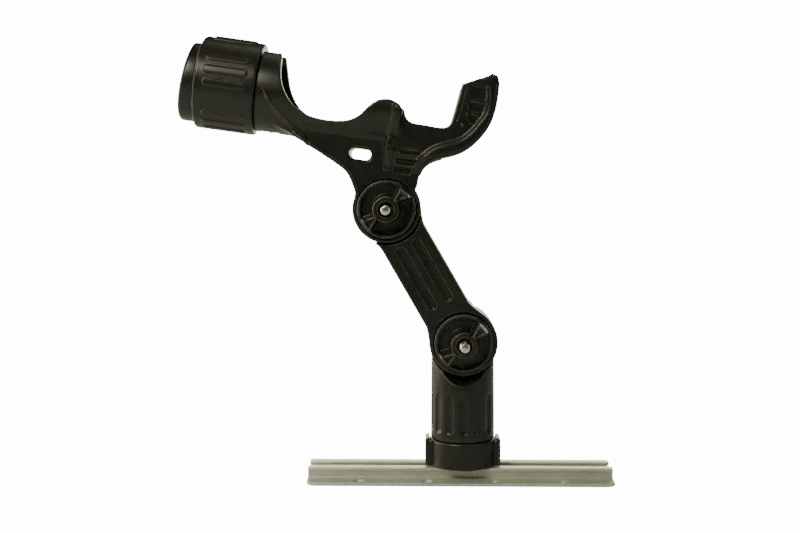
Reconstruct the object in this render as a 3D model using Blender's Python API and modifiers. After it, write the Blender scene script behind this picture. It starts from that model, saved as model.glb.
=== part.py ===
"""Rod holder on a short mounting rail: rail, clamp shoe, post, extension arm and rod cradle.

X runs along the rail, the control knobs face -Y and Z is up. The origin is the centre of the
rail's underside. The holder stands on the rail at rest, its arm leaning to -X.
"""

from math import acos, cos, pi, radians, sin, sqrt

import bmesh
import bpy
from mathutils import Matrix, Vector

MM = 0.001
GAP = 0.3 * MM
OVERLAP = 1.0 * MM
CUTTER_REACH = 8.0 * MM

# Rail
RAIL_LENGTH = 203.2 * MM
RAIL_HALF_WIDTH = 27.4 * MM
RAIL_HEIGHT = 8.4 * MM
FLANGE_THICKNESS = 2.0 * MM
FLANGE_CORNER = 7.0 * MM
CHANNEL_HALF_WIDTH = 11.5 * MM
LIP_BULGE = 1.0 * MM
LIP_THICKNESS = 2.1 * MM
SLOT_HALF_WIDTH = 4.3 * MM
CAVITY_HALF_WIDTH = 9.5 * MM
CHANNEL_FLOOR = 1.8 * MM
RAIL_HOLE_STATIONS = (22.4 * MM, 67.2 * MM)
RAIL_HOLE_Y = 20.0 * MM
RAIL_HOLE_RADIUS = 2.2 * MM
RAIL_SINK_RADIUS = 3.9 * MM

# Shoe that slides on the rail, and its clamp
HOLDER_X = 2.0 * MM
SHOE_RADIUS = 22.0 * MM
SHOE_BORE = 18.9 * MM
SHOE_CHAMFER = 0.8 * MM
SHOE_FLOOR_THICKNESS = 4.2 * MM
SHOE_TOP = 26.5 * MM
SHOE_EAR_REACH = 25.2 * MM
SHOE_EAR_HALF_WIDTH = 8.0 * MM
SHOE_EAR_TOP = 27.6 * MM
SHOE_EAR_CORNER = 2.0 * MM
SHOE_EAR_STEP = 1.2 * MM
SHOE_BOTTOM = RAIL_HEIGHT + GAP
SHOE_FLOOR = SHOE_BOTTOM + SHOE_FLOOR_THICKNESS
KEY_LENGTH = 32.0 * MM
KEY_DEPTH = 1.9 * MM
TEE_HALF_LENGTH = 11.0 * MM
TEE_HALF_WIDTH = CAVITY_HALF_WIDTH - 0.8 * MM
TEE_CORNER = 3.0 * MM
TEE_THICKNESS = 3.2 * MM
CLAMP_STEM = 18.0 * MM

# Quarter-inch hardware
BOLT_RADIUS = 3.175 * MM
BOLT_HOLE_RADIUS = BOLT_RADIUS + GAP
BOLT_CHAMFER = 0.8 * MM
HEX_FLATS = 11.1 * MM
BOLT_HEAD_HEIGHT = 4.0 * MM
WASHER_RADIUS = 8.0 * MM
WASHER_THICKNESS = 1.4 * MM

# Post
POST_BOTTOM = 27.2 * MM
POST_RADIUS = 21.1 * MM
POST_DRAFT = 0.2 * MM
POST_EDGE = 0.8 * MM
POST_SPIGOT_RADIUS = SHOE_BORE - 0.5 * MM
POST_SPIGOT_BOTTOM = SHOE_FLOOR + GAP
FLUTE_COUNT = 14
FLUTE_BOTTOM = 32.0 * MM
FLUTE_TOP = 58.0 * MM
FLUTE_HALF_WIDTH = 3.2 * MM
FLUTE_DEPTH = 0.8 * MM
CLAMP_NUT_FLATS = 17.0 * MM
CLAMP_NUT_HEIGHT = 8.0 * MM
CLAMP_WASHER_RADIUS = 12.0 * MM
RETAINER_RADIUS = 14.0 * MM
RETAINER_HOLE_RADIUS = BOLT_HOLE_RADIUS + 1.0 * MM
RETAINER_THICKNESS = 2.0 * MM
SCALLOP_RADIUS = 30.8 * MM
SCALLOP_REACH = 6.0 * MM

# Joints
LOWER_JOINT_Z = 93.0 * MM
ARM_LENGTH = 101.6 * MM
ARM_LEAN = radians(-30)
CRADLE_TILT = radians(8)
HUB_RADIUS = 22.6 * MM
RELIEF_RADIUS = 23.6 * MM
HUB_FRONT = 17.5 * MM
HUB_BACK = 17.0 * MM
LAP_GAP = 0.3 * MM
TOOTH_COUNT = 24
TOOTH_INNER = 9.5 * MM
TOOTH_OUTER = 19.0 * MM
TOOTH_DEPTH = 1.2 * MM
DISH_RADIUS = 20.0 * MM
DISH_FLOOR = 12.5 * MM
BOLT_WELL_RADIUS = 9.0 * MM
BOLT_WELL_FLOOR = 11.0 * MM
BOLT_TIP = 42.0 * MM

# Knob
KNOB_RADIUS = 19.3 * MM
KNOB_EDGE = 0.8 * MM
KNOB_BACK = DISH_FLOOR + GAP + WASHER_THICKNESS + GAP
KNOB_RIM = 22.0 * MM
KNOB_FACE = 19.4 * MM
KNOB_HUB_RADIUS = 8.6 * MM
KNOB_HUB_FRONT = 32.0 * MM
KNOB_HUB_DRAFT = 1.2 * MM
KNOB_POCKET_RADIUS = 6.9 * MM
KNOB_POCKET_FLOOR = 23.0 * MM
KNOB_NUT_FRONT = 28.0 * MM
WING_FRONT = 34.0 * MM
WING_ANGLES = (radians(42), radians(219))
WING_HALF_ANGLE = radians(19)
WING_INNER = 7.6 * MM
WING_OUTER = 18.3 * MM
WING_SIDE_DRAFT = 0.22
WING_END_DRAFT = 0.10

# Arm
ARM_HALF_WIDTH = 16.2 * MM
ARM_GROOVE_CENTRE = 5.9 * MM
ARM_GROOVE_HALF_WIDTH = 2.9 * MM
ARM_GROOVE_DEPTH = 3.0 * MM
ARM_GROOVE_START = 29.0 * MM
ARM_GROOVE_END = 75.0 * MM
ARM_FILLET = 5.0 * MM

# Cradle, in its own frame: origin on its joint, tube axis along x, z up
TUBE_AXIS = 66.8 * MM
TUBE_END = -146.3 * MM
TUBE_END_TILT = radians(5.3)
TUBE_END_EDGE = 4.0 * MM
TUBE_MOUTH_STEP = 1.2 * MM
TUBE_RADIUS = 27.6 * MM
TUBE_END_RADIUS = 27.2 * MM
TUBE_BORE = 22.0 * MM
TUBE_SLOT_HALF_WIDTH = 11.2 * MM
TUBE_SLOT_END = -70.0 * MM
COLLAR_START = -134.8 * MM
COLLAR_END = -94.8 * MM
COLLAR_SEAT_RADIUS = 24.7 * MM
COLLAR_RADIUS = 30.6 * MM
COLLAR_EDGE = 1.8 * MM
COLLAR_RIB_HEIGHT = 0.9 * MM
COLLAR_RIB_HALF_WIDTH = 2.3 * MM
COLLAR_RIB_LENGTH = 28.0 * MM
COLLAR_PLACES = 5
COLLAR_PITCH = 2 * pi / COLLAR_PLACES
COLLAR_FIRST_GROUP = radians(4.5)
COLLAR_OPEN_PLACE = 3
COLLAR_RIB_PITCH = radians(16)
COLLAR_OPENING_HALF_WIDTH = 11.7 * MM
TROUGH_END = 2.5 * MM
WEB_HALF_WIDTH = HUB_FRONT
FORK_HALF_WIDTH = 22.5 * MM
FORK_START = -6.0 * MM
FORK_END = 80.0 * MM
CRADLE_TOP = 120.0 * MM
CRADLE_SIDE = 40.0 * MM
FORK_CHANNEL_HALF_WIDTH = 13.0 * MM
FORK_CHANNEL_AXIS = 65.0 * MM
FORK_POCKET_DEPTH = 2.0 * MM
FORK_POCKETS = (
    (43.0, 79.0, 54.0, 87.0),
    (44.0, 70.8, 53.3, 76.4),
    (45.0, 63.2, 50.6, 68.2),
)
BLOCK_SLOTS = (
    (3.2, 37.4, 16.6, 39.9),
    (1.6, 31.8, 14.2, 34.0),
)
WEB_SLOTS = ((0.6, 25.4, 12.4, 28.4),)
WEB_SLOT_DEPTH = 1.8 * MM
NOTCHES = ((-91.5 * MM, -85.5 * MM), (-83.5 * MM, -78.5 * MM))
NOTCH_HALF_WIDTH = 5.0 * MM
NOTCH_DEPTH = 1.6 * MM
WINDOW_CENTRE = (-22.3 * MM, 33.5 * MM)
WINDOW_LENGTH = 14.6 * MM
WINDOW_RADIUS = 3.6 * MM

ROUND_STEPS = 48
WASHER_STEPS = 28
SMALL_STEPS = 18
ARC_STEP = radians(9)
SMALL_ARC_STEP = radians(30)
SMALL_ARC = 5.5 * MM

ENLARGE = Matrix.Scale(1000, 4)
WELD = 0.002
TO_X = Matrix.Rotation(pi / 2, 4, "Y")
TO_FRONT = Matrix.Rotation(pi / 2, 4, "X")
UPRIGHT = Matrix.Identity(4)
ALONG_X = Matrix(((0, 0, 1, 0), (1, 0, 0, 0), (0, 1, 0, 0), (0, 0, 0, 1)))


def clear_scene():
    for old in list(bpy.data.objects):
        bpy.data.objects.remove(old, do_unlink=True)


def new_collection(name, hidden=False):
    collection = bpy.data.collections.new(name)
    bpy.context.scene.collection.children.link(collection)
    collection.hide_render = hidden
    return collection


def make_material(name, colour, roughness, metallic=0.0):
    material = bpy.data.materials.new(name)
    material.use_nodes = True
    shader = material.node_tree.nodes["Principled BSDF"]
    shader.inputs["Base Color"].default_value = (*colour, 1.0)
    shader.inputs["Roughness"].default_value = roughness
    shader.inputs["Metallic"].default_value = metallic
    return material


def link_mesh(name, mesh, collection):
    obj = bpy.data.objects.new(name, mesh)
    collection.objects.link(obj)
    return obj


def cutter_from(mesh, name="cutter"):
    obj = link_mesh(name, mesh, cutters)
    obj.hide_render = True
    obj.display_type = "WIRE"
    return obj


def mesh_from(bm, name):
    bmesh.ops.recalc_face_normals(bm, faces=bm.faces[:])
    mesh = bpy.data.meshes.new(name)
    bm.to_mesh(mesh)
    bm.free()
    return mesh


def evaluated_mesh(obj):
    """The object's mesh with its modifiers applied, after which the object is removed."""
    graph = bpy.context.evaluated_depsgraph_get()
    mesh = bpy.data.meshes.new_from_object(obj.evaluated_get(graph))
    mesh.transform(obj.matrix_world)
    bpy.data.objects.remove(obj, do_unlink=True)
    return mesh


# ---------------------------------------------------------------- outlines and basic solids


def arc(centre, radius, start, end):
    """Points on an arc from one angle to the other, both ends included."""
    step = SMALL_ARC_STEP if radius < SMALL_ARC else ARC_STEP
    count = max(2, round(abs(end - start) / step))
    angles = [start + (end - start) * i / count for i in range(count + 1)]
    return [(centre[0] + radius * cos(a), centre[1] + radius * sin(a)) for a in angles]


def smooth_line(points, steps=4):
    """A Catmull-Rom curve through the points, from the first to the last."""
    ends = [points[0], *points, points[-1]]
    line = []
    for before, start, end, after in zip(ends, ends[1:], ends[2:], ends[3:]):
        for step in range(steps):
            t = step / steps
            line.append(
                tuple(
                    0.5
                    * (
                        2 * start[i]
                        + (end[i] - before[i]) * t
                        + (2 * before[i] - 5 * start[i] + 4 * end[i] - after[i]) * t**2
                        + (3 * start[i] - before[i] - 3 * end[i] + after[i]) * t**3
                    )
                    for i in (0, 1)
                )
            )
    return [*line, points[-1]]


def in_mm(points):
    return [(x * MM, z * MM) for x, z in points]


def slab(outline, low, high, turn=TO_FRONT):
    """An outline given a thickness. By default it lies in X and Z, and low and high are Y."""
    curve = bpy.data.curves.new("outline", "CURVE")
    curve.dimensions = "2D"
    curve.fill_mode = "BOTH"
    curve.extrude = (high - low) / 2
    spline = curve.splines.new("POLY")
    spline.points.add(len(outline) - 1)
    for point, (x, y) in zip(spline.points, outline):
        point.co = (x, y, 0, 1)
    spline.use_cyclic_u = True
    guide = bpy.data.objects.new("outline", curve)
    bpy.context.scene.collection.objects.link(guide)
    middle = (low + high) / 2
    shift = Matrix.Translation((0, 0, -middle if turn is TO_FRONT else middle))
    guide.matrix_world = turn @ shift
    bpy.context.view_layer.update()
    mesh = evaluated_mesh(guide)
    bm = bmesh.new()
    bm.from_mesh(mesh)
    bmesh.ops.remove_doubles(bm, verts=bm.verts[:], dist=0.00001)
    return mesh_from(bm, "slab")


def turned(profile, steps=ROUND_STEPS, turn=UPRIGHT):
    """A profile of (radius, height) points turned about its axis. It starts and ends on the
    axis, or closes on itself when no point lies there."""
    solid = min(radius for radius, _ in profile) < MM / 100
    mesh = bpy.data.meshes.new("profile")
    edges = [(i, i + 1) for i in range(len(profile) - 1)]
    if not solid:
        edges.append((len(profile) - 1, 0))
    mesh.from_pydata([(r, 0, h) for r, h in profile], edges, [])
    guide = bpy.data.objects.new("profile", mesh)
    bpy.context.scene.collection.objects.link(guide)
    screw = guide.modifiers.new("Screw", "SCREW")
    screw.steps = steps
    screw.render_steps = steps
    screw.use_merge_vertices = True
    screw.merge_threshold = 0.00001
    guide.matrix_world = turn
    bpy.context.view_layer.update()
    bm = bmesh.new()
    bm.from_mesh(evaluated_mesh(guide))
    bmesh.ops.remove_doubles(bm, verts=bm.verts[:], dist=0.000001)
    return mesh_from(bm, "turned")


def rod(radius, low, high, steps=ROUND_STEPS, turn=TO_FRONT):
    """A cylinder from low to high along the turned axis. TO_FRONT counts towards -Y."""
    return turned([(0, high), (radius, high), (radius, low), (0, low)], steps, turn)


def box(low, high):
    bm = bmesh.new()
    size = [h - l for l, h in zip(low, high)]
    middle = [(h + l) / 2 for l, h in zip(low, high)]
    place = Matrix.Translation(middle) @ Matrix.Diagonal((*size, 1))
    bmesh.ops.create_cube(bm, size=1, matrix=place)
    return mesh_from(bm, "box")


def hexagon(flats, turn=0.0):
    corner = flats / sqrt(3)
    return [(corner * cos(turn + i * pi / 3), corner * sin(turn + i * pi / 3)) for i in range(6)]


def joined(meshes):
    """Several separate closed meshes as one, for use as a single cutter or addition."""
    bm = bmesh.new()
    for mesh in meshes:
        bm.from_mesh(mesh)
    return mesh_from(bm, "joined")


def moved(mesh, matrix):
    mesh.transform(matrix)
    return mesh


def weld(mesh):
    """Removes the slivers that a Boolean leaves, at the enlarged size, and says whether the
    mesh is still a closed one."""
    bm = bmesh.new()
    bm.from_mesh(mesh)
    bmesh.ops.triangulate(bm, faces=bm.faces[:])
    bmesh.ops.remove_doubles(bm, verts=bm.verts[:], dist=WELD)
    bmesh.ops.dissolve_degenerate(bm, edges=bm.edges[:], dist=WELD)
    whole = len(bm.faces) > 0 and all(edge.is_manifold for edge in bm.edges)
    bm.to_mesh(mesh)
    bm.free()
    return whole


def boolean(obj, mesh, operation="DIFFERENCE"):
    """Joins or cuts at a thousand times the size, where the solver's tolerances suit small
    features. The manifold solver takes over where the exact one leaves a gap."""
    obj.data.transform(ENLARGE)
    mesh.transform(ENLARGE)
    tool = cutter_from(mesh, obj.name + "_" + operation.lower())
    modifier = obj.modifiers.new(operation.title(), "BOOLEAN")
    modifier.operation = operation
    modifier.object = tool
    for solver in ("EXACT", "MANIFOLD"):
        modifier.solver = solver
        bpy.context.view_layer.update()
        graph = bpy.context.evaluated_depsgraph_get()
        result = bpy.data.meshes.new_from_object(obj.evaluated_get(graph))
        if weld(result):
            break
    obj.modifiers.remove(modifier)
    obj.data = result
    obj.data.transform(ENLARGE.inverted())
    bpy.data.objects.remove(tool, do_unlink=True)


def cut(obj, mesh):
    boolean(obj, mesh)


def join(obj, mesh):
    boolean(obj, mesh, "UNION")


def keep(obj, mesh):
    boolean(obj, mesh, "INTERSECT")


def finish_part(obj, material, parent=None):
    obj.data.name = obj.name
    obj.data.materials.clear()
    obj.data.materials.append(material)
    obj.data.shade_smooth()
    obj.data.set_sharp_from_angle(angle=radians(30))
    obj.parent = parent
    return obj


def empty_at(name, location, parent=None, turn=0.0):
    """A joint: an empty on the axis, turned about Y."""
    obj = bpy.data.objects.new(name, None)
    parts.objects.link(obj)
    obj.parent = parent
    obj.location = location
    obj.rotation_euler = (0, turn, 0)
    obj.empty_display_size = 10 * MM
    return obj


# ---------------------------------------------------------------- rail and clamp


def make_rail():
    wall_top = RAIL_HEIGHT - LIP_THICKNESS
    bulge = CHANNEL_HALF_WIDTH + LIP_BULGE
    half = [
        (-RAIL_HALF_WIDTH, 0),
        (-RAIL_HALF_WIDTH, FLANGE_THICKNESS),
        (-CHANNEL_HALF_WIDTH - LIP_BULGE, FLANGE_THICKNESS),
        (-CHANNEL_HALF_WIDTH, FLANGE_THICKNESS + LIP_BULGE),
        (-CHANNEL_HALF_WIDTH, wall_top - LIP_BULGE),
        (-bulge, wall_top - LIP_BULGE / 4),
        (-bulge, RAIL_HEIGHT - LIP_BULGE / 2),
        (-bulge + LIP_BULGE / 2, RAIL_HEIGHT),
        (-SLOT_HALF_WIDTH, RAIL_HEIGHT),
        (-SLOT_HALF_WIDTH, wall_top),
        (-CAVITY_HALF_WIDTH, wall_top),
        (-CAVITY_HALF_WIDTH, CHANNEL_FLOOR),
    ]
    outline = half + [(-y, z) for y, z in reversed(half)]
    rail = link_mesh("rail", slab(outline, -RAIL_LENGTH / 2, RAIL_LENGTH / 2, ALONG_X), parts)
    cut(rail, joined([flange_corner(x, y) for x in (-1, 1) for y in (-1, 1)]))
    sink = [
        (0, FLANGE_THICKNESS + OVERLAP),
        (RAIL_SINK_RADIUS + OVERLAP, FLANGE_THICKNESS + OVERLAP),
        (RAIL_HOLE_RADIUS, FLANGE_THICKNESS + RAIL_HOLE_RADIUS - RAIL_SINK_RADIUS),
        (RAIL_HOLE_RADIUS, -OVERLAP),
        (0, -OVERLAP),
    ]
    sinks = [
        moved(turned(sink, SMALL_STEPS), Matrix.Translation((side_x * x, side_y * RAIL_HOLE_Y, 0)))
        for x in RAIL_HOLE_STATIONS
        for side_x in (-1, 1)
        for side_y in (-1, 1)
    ]
    cut(rail, joined(sinks))
    return finish_part(rail, aluminium)


def flange_corner(side_x, side_y):
    """What rounds one corner of the flanges off: the square corner less a quarter circle."""
    x = side_x * (RAIL_LENGTH / 2 - FLANGE_CORNER)
    y = side_y * (RAIL_HALF_WIDTH - FLANGE_CORNER)
    beyond = FLANGE_CORNER + OVERLAP
    quarter = arc((0, 0), FLANGE_CORNER, 0, pi / 2)
    outline = quarter + [(0, beyond), (beyond, beyond), (beyond, 0)]
    placed = [(x + side_x * a, y + side_y * b) for a, b in outline]
    return slab(placed, -OVERLAP, FLANGE_THICKNESS + OVERLAP, UPRIGHT)


def make_shoe():
    """A cup with a key between the rail's lips and an upright ear at each end."""
    chamfer = SHOE_CHAMFER
    profile = [
        (0, SHOE_FLOOR),
        (SHOE_BORE, SHOE_FLOOR),
        (SHOE_BORE, SHOE_TOP),
        (SHOE_RADIUS - 1.6 * chamfer, SHOE_TOP),
        (SHOE_RADIUS, SHOE_TOP - 2 * chamfer),
        (SHOE_RADIUS, SHOE_BOTTOM + chamfer),
        (SHOE_RADIUS - chamfer, SHOE_BOTTOM),
        (0, SHOE_BOTTOM),
    ]
    shoe = link_mesh("base_shoe", turned(profile), parts)
    for side in (-1, 1):
        join(shoe, shoe_ear(side))
    key_half = SLOT_HALF_WIDTH - GAP
    key_low = SHOE_BOTTOM - KEY_DEPTH
    key_top = SHOE_BOTTOM + OVERLAP
    join(shoe, box((-KEY_LENGTH / 2, -key_half, key_low), (KEY_LENGTH / 2, key_half, key_top)))
    cut(shoe, rod(BOLT_HOLE_RADIUS, key_low - OVERLAP, SHOE_FLOOR + OVERLAP, SMALL_STEPS, UPRIGHT))
    return finish_part(shoe, black_plastic, slide_axis)


def shoe_ear(side):
    """An upright ear at one end of the shoe, standing a little above the cup's rim."""
    corner = SHOE_EAR_CORNER
    step_z = SHOE_TOP - SHOE_EAR_STEP
    bottom = SHOE_BOTTOM + SHOE_CHAMFER / 2
    rounded = arc((SHOE_EAR_REACH - corner, SHOE_EAR_TOP - corner), corner, pi / 2, 0)
    outline = [
        (SHOE_BORE + OVERLAP, bottom),
        (SHOE_BORE + OVERLAP, step_z),
        (SHOE_RADIUS + GAP, step_z),
        (SHOE_RADIUS + GAP, SHOE_EAR_TOP),
        *rounded,
        (SHOE_EAR_REACH, bottom),
    ]
    placed = [(side * x, z) for x, z in outline]
    return slab(placed, -SHOE_EAR_HALF_WIDTH, SHOE_EAR_HALF_WIDTH)


def make_rail_bolt():
    """A tee bolt: an oblong head inside the rail's channel and a stem up into the post."""
    head_top = RAIL_HEIGHT - LIP_THICKNESS - GAP
    head_bottom = head_top - TEE_THICKNESS
    outline = []
    for x, y, start in ((1, 1, 0), (-1, 1, pi / 2), (-1, -1, pi), (1, -1, 1.5 * pi)):
        centre = (x * (TEE_HALF_LENGTH - TEE_CORNER), y * (TEE_HALF_WIDTH - TEE_CORNER))
        outline += arc(centre, TEE_CORNER, start, start + pi / 2)
    bolt = link_mesh("rail_bolt", slab(outline, head_bottom, head_top, UPRIGHT), parts)
    tip = POST_SPIGOT_BOTTOM + CLAMP_STEM
    chamfer = BOLT_CHAMFER
    stem = [
        (0, tip),
        (BOLT_RADIUS - chamfer, tip),
        (BOLT_RADIUS, tip - chamfer),
        (BOLT_RADIUS, head_bottom + OVERLAP),
        (0, head_bottom + OVERLAP),
    ]
    join(bolt, turned(stem, SMALL_STEPS))
    return finish_part(bolt, steel, slide_axis)


def ring(name, outer, inner, low, high, material, parent, turn=UPRIGHT):
    profile = [(inner, high), (outer, high), (outer, low), (inner, low)]
    part = link_mesh(name, turned(profile, WASHER_STEPS, turn), parts)
    return finish_part(part, material, parent)


def make_clamp():
    """Thrust washer, retainer plate and hex nut, stacked on the stem inside the post."""
    washer_low = SHOE_FLOOR + GAP
    washer_top = washer_low + WASHER_THICKNESS
    ring("clamp_washer", CLAMP_WASHER_RADIUS, BOLT_HOLE_RADIUS, washer_low, washer_top, steel,
         slide_axis)
    plate_low = washer_top + GAP
    plate_top = plate_low + RETAINER_THICKNESS
    ring("nut_retainer", RETAINER_RADIUS, RETAINER_HOLE_RADIUS, plate_low, plate_top, steel,
         swivel_axis)
    nut_low = plate_top + GAP
    nut_top = nut_low + CLAMP_NUT_HEIGHT
    nut_body = slab(hexagon(CLAMP_NUT_FLATS), nut_low, nut_top, UPRIGHT)
    nut = link_mesh("clamp_nut", nut_body, parts)
    bore = rod(BOLT_HOLE_RADIUS, nut_low - OVERLAP, nut_top + OVERLAP, SMALL_STEPS, UPRIGHT)
    cut(nut, bore)
    finish_part(nut, brass, swivel_axis)
    return plate_top, nut_top


# ---------------------------------------------------------------- toothed lap joints


def tooth_gaps(face, into):
    """The spaces between the radial teeth sunk in a lap face. They're cut from face to
    face + into along Y, about the local origin."""
    spaces = []
    low = min(face - OVERLAP if into > 0 else face + into, face)
    high = max(face + OVERLAP if into < 0 else face + into, face)
    half = pi / TOOTH_COUNT / 2
    for i in range(TOOTH_COUNT):
        middle = 2 * pi * i / TOOTH_COUNT
        corners = [
            (radius * cos(middle + side * half), radius * sin(middle + side * half))
            for radius, side in ((TOOTH_INNER, -1), (TOOTH_OUTER, -1), (TOOTH_OUTER, 1),
                                 (TOOTH_INNER, 1))
        ]
        spaces.append(slab(corners, low, high))
    return joined(spaces)


def cut_front_hub(obj):
    """The knob's dish, the bolt hole and the teeth of a hub on the -Y side of the lap."""
    cut(obj, rod(DISH_RADIUS, DISH_FLOOR, HUB_FRONT + CUTTER_REACH))
    bolt_hole = rod(BOLT_HOLE_RADIUS, -HUB_BACK - CUTTER_REACH, DISH_FLOOR + OVERLAP, SMALL_STEPS)
    cut(obj, bolt_hole)
    cut(obj, tooth_gaps(-LAP_GAP, -TOOTH_DEPTH))


def cut_back_hub(obj, place=UPRIGHT):
    """The bolt head's well, the bolt hole and the teeth of a hub on the +Y side."""
    well = rod(BOLT_WELL_RADIUS, -HUB_BACK - CUTTER_REACH, -BOLT_WELL_FLOOR, WASHER_STEPS)
    cut(obj, moved(well, place))
    hole_low = -BOLT_WELL_FLOOR - OVERLAP
    bolt_hole = rod(BOLT_HOLE_RADIUS, hole_low, HUB_FRONT + CUTTER_REACH, SMALL_STEPS)
    cut(obj, moved(bolt_hole, place))
    cut(obj, moved(tooth_gaps(LAP_GAP, TOOTH_DEPTH), place))


def make_joint_hardware(prefix, bolt_parent, knob_parent):
    """Bolt, washers, knob and nut on a joint's axis, which is the parents' local Y."""
    head_front = BOLT_WELL_FLOOR + GAP + WASHER_THICKNESS + GAP
    head_back = head_front + BOLT_HEAD_HEIGHT
    bolt = link_mesh(prefix + "_bolt", slab(hexagon(HEX_FLATS), head_front, head_back), parts)
    stem = [
        (0, BOLT_TIP),
        (BOLT_RADIUS - BOLT_CHAMFER, BOLT_TIP),
        (BOLT_RADIUS, BOLT_TIP - BOLT_CHAMFER),
        (BOLT_RADIUS, -head_front - OVERLAP),
        (0, -head_front - OVERLAP),
    ]
    join(bolt, turned(stem, SMALL_STEPS, TO_FRONT))
    finish_part(bolt, steel, bolt_parent)
    ring(prefix + "_back_washer", WASHER_RADIUS, BOLT_HOLE_RADIUS,
         -BOLT_WELL_FLOOR - GAP - WASHER_THICKNESS, -BOLT_WELL_FLOOR - GAP, steel,
         bolt_parent, TO_FRONT)
    ring(prefix + "_knob_washer", WASHER_RADIUS, BOLT_HOLE_RADIUS, DISH_FLOOR + GAP,
         DISH_FLOOR + GAP + WASHER_THICKNESS, steel, bolt_parent, TO_FRONT)
    make_knob(prefix, knob_parent)


def make_knob(prefix, parent):
    """A dished disc with a raised hub and two tapered finger wings."""
    edge = KNOB_EDGE
    profile = [
        (KNOB_POCKET_RADIUS, KNOB_HUB_FRONT),
        (KNOB_HUB_RADIUS - edge, KNOB_HUB_FRONT),
        (KNOB_HUB_RADIUS, KNOB_HUB_FRONT - edge),
        (KNOB_HUB_RADIUS + KNOB_HUB_DRAFT, KNOB_FACE),
        (KNOB_RADIUS - 2.4 * edge, KNOB_FACE),
        (KNOB_RADIUS - edge, KNOB_RIM),
        (KNOB_RADIUS, KNOB_RIM - edge),
        (KNOB_RADIUS, KNOB_BACK + edge),
        (KNOB_RADIUS - edge, KNOB_BACK),
        (BOLT_HOLE_RADIUS, KNOB_BACK),
        (BOLT_HOLE_RADIUS, KNOB_POCKET_FLOOR),
        (KNOB_POCKET_RADIUS, KNOB_POCKET_FLOOR),
    ]
    knob = link_mesh(prefix + "_knob", turned(profile, ROUND_STEPS, TO_FRONT), parts)
    for middle in WING_ANGLES:
        start = middle - WING_HALF_ANGLE
        end = middle + WING_HALF_ANGLE
        wing = arc((0, 0), WING_OUTER, start, end) + arc((0, 0), WING_INNER, end, start)
        mesh = slab(wing, -WING_FRONT, -KNOB_FACE + OVERLAP)
        taper_wing(mesh, middle)
        join(knob, mesh)
    finish_part(knob, black_plastic, parent)
    nut = link_mesh(prefix + "_knob_nut", slab(hexagon(HEX_FLATS), -KNOB_NUT_FRONT,
                                               -KNOB_POCKET_FLOOR - GAP), parts)
    cut(nut, rod(BOLT_HOLE_RADIUS, KNOB_POCKET_FLOOR - OVERLAP, KNOB_NUT_FRONT + OVERLAP,
                 SMALL_STEPS))
    finish_part(nut, steel, parent)


def taper_wing(mesh, middle):
    """Draws a wing's front towards its middle line, so that its sides have draft."""
    along = Vector((cos(middle), 0, sin(middle)))
    across = Vector((-sin(middle), 0, cos(middle)))
    centre = (WING_INNER + WING_OUTER) / 2
    for vertex in mesh.vertices:
        if vertex.co.y < -KNOB_FACE - OVERLAP:
            offset = vertex.co.dot(across)
            reach = vertex.co.dot(along) - centre
            vertex.co -= across * offset * WING_SIDE_DRAFT + along * reach * WING_END_DRAFT


# ---------------------------------------------------------------- post and arm


def make_post(plate_top, nut_top):
    """A fluted round post whose top is the rear half of the lower lap joint."""
    edge = POST_EDGE
    spigot = POST_SPIGOT_RADIUS
    profile = [
        (0, LOWER_JOINT_Z),
        (POST_RADIUS - POST_DRAFT, LOWER_JOINT_Z),
        (POST_RADIUS + POST_DRAFT, POST_BOTTOM + edge),
        (POST_RADIUS + POST_DRAFT - edge, POST_BOTTOM),
        (spigot, POST_BOTTOM),
        (spigot, POST_SPIGOT_BOTTOM + edge),
        (spigot - edge, POST_SPIGOT_BOTTOM),
        (RETAINER_RADIUS + GAP, POST_SPIGOT_BOTTOM),
        (RETAINER_RADIUS + GAP, plate_top + GAP),
        (0, plate_top + GAP),
    ]
    post = link_mesh("post_body", turned(profile), parts)
    to_joint = Matrix.Translation((0, 0, LOWER_JOINT_Z))
    join(post, moved(rod(HUB_RADIUS, -HUB_BACK - OVERLAP, SCALLOP_REACH), to_joint))
    scallop = [
        (0, HUB_FRONT + SCALLOP_REACH),
        (SCALLOP_RADIUS, HUB_FRONT + SCALLOP_REACH),
        (RELIEF_RADIUS, HUB_FRONT - SCALLOP_REACH / 2),
        (RELIEF_RADIUS, -LAP_GAP),
        (0, -LAP_GAP),
    ]
    cut(post, moved(turned(scallop, ROUND_STEPS, TO_FRONT), to_joint))
    back_scallop = [
        (0, -HUB_BACK),
        (RELIEF_RADIUS, -HUB_BACK),
        (SCALLOP_RADIUS, -HUB_BACK - SCALLOP_REACH),
        (0, -HUB_BACK - SCALLOP_REACH),
    ]
    cut(post, moved(turned(back_scallop, ROUND_STEPS, TO_FRONT), to_joint))
    cut_back_hub(post, to_joint)
    nut_pocket = slab(hexagon(CLAMP_NUT_FLATS + 2 * GAP), plate_top, nut_top + GAP, UPRIGHT)
    cut(post, nut_pocket)
    stem_top = POST_SPIGOT_BOTTOM + CLAMP_STEM + OVERLAP
    cut(post, rod(BOLT_RADIUS + OVERLAP, plate_top, stem_top, SMALL_STEPS, UPRIGHT))
    cut(post, flutes())
    return finish_part(post, black_plastic, swivel_axis)


def flutes():
    """Shallow upright grip flutes with round ends, all round the post."""
    half = FLUTE_HALF_WIDTH
    outline = arc((0, FLUTE_TOP - half), half, 0, pi)
    outline += arc((0, FLUTE_BOTTOM + half), half, pi, 2 * pi)
    meshes = []
    for i in range(FLUTE_COUNT):
        mesh = slab(outline, -POST_RADIUS - 2 * OVERLAP, -POST_RADIUS + FLUTE_DEPTH)
        meshes.append(moved(mesh, Matrix.Rotation(2 * pi * i / FLUTE_COUNT, 4, "Z")))
    return joined(meshes)


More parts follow.
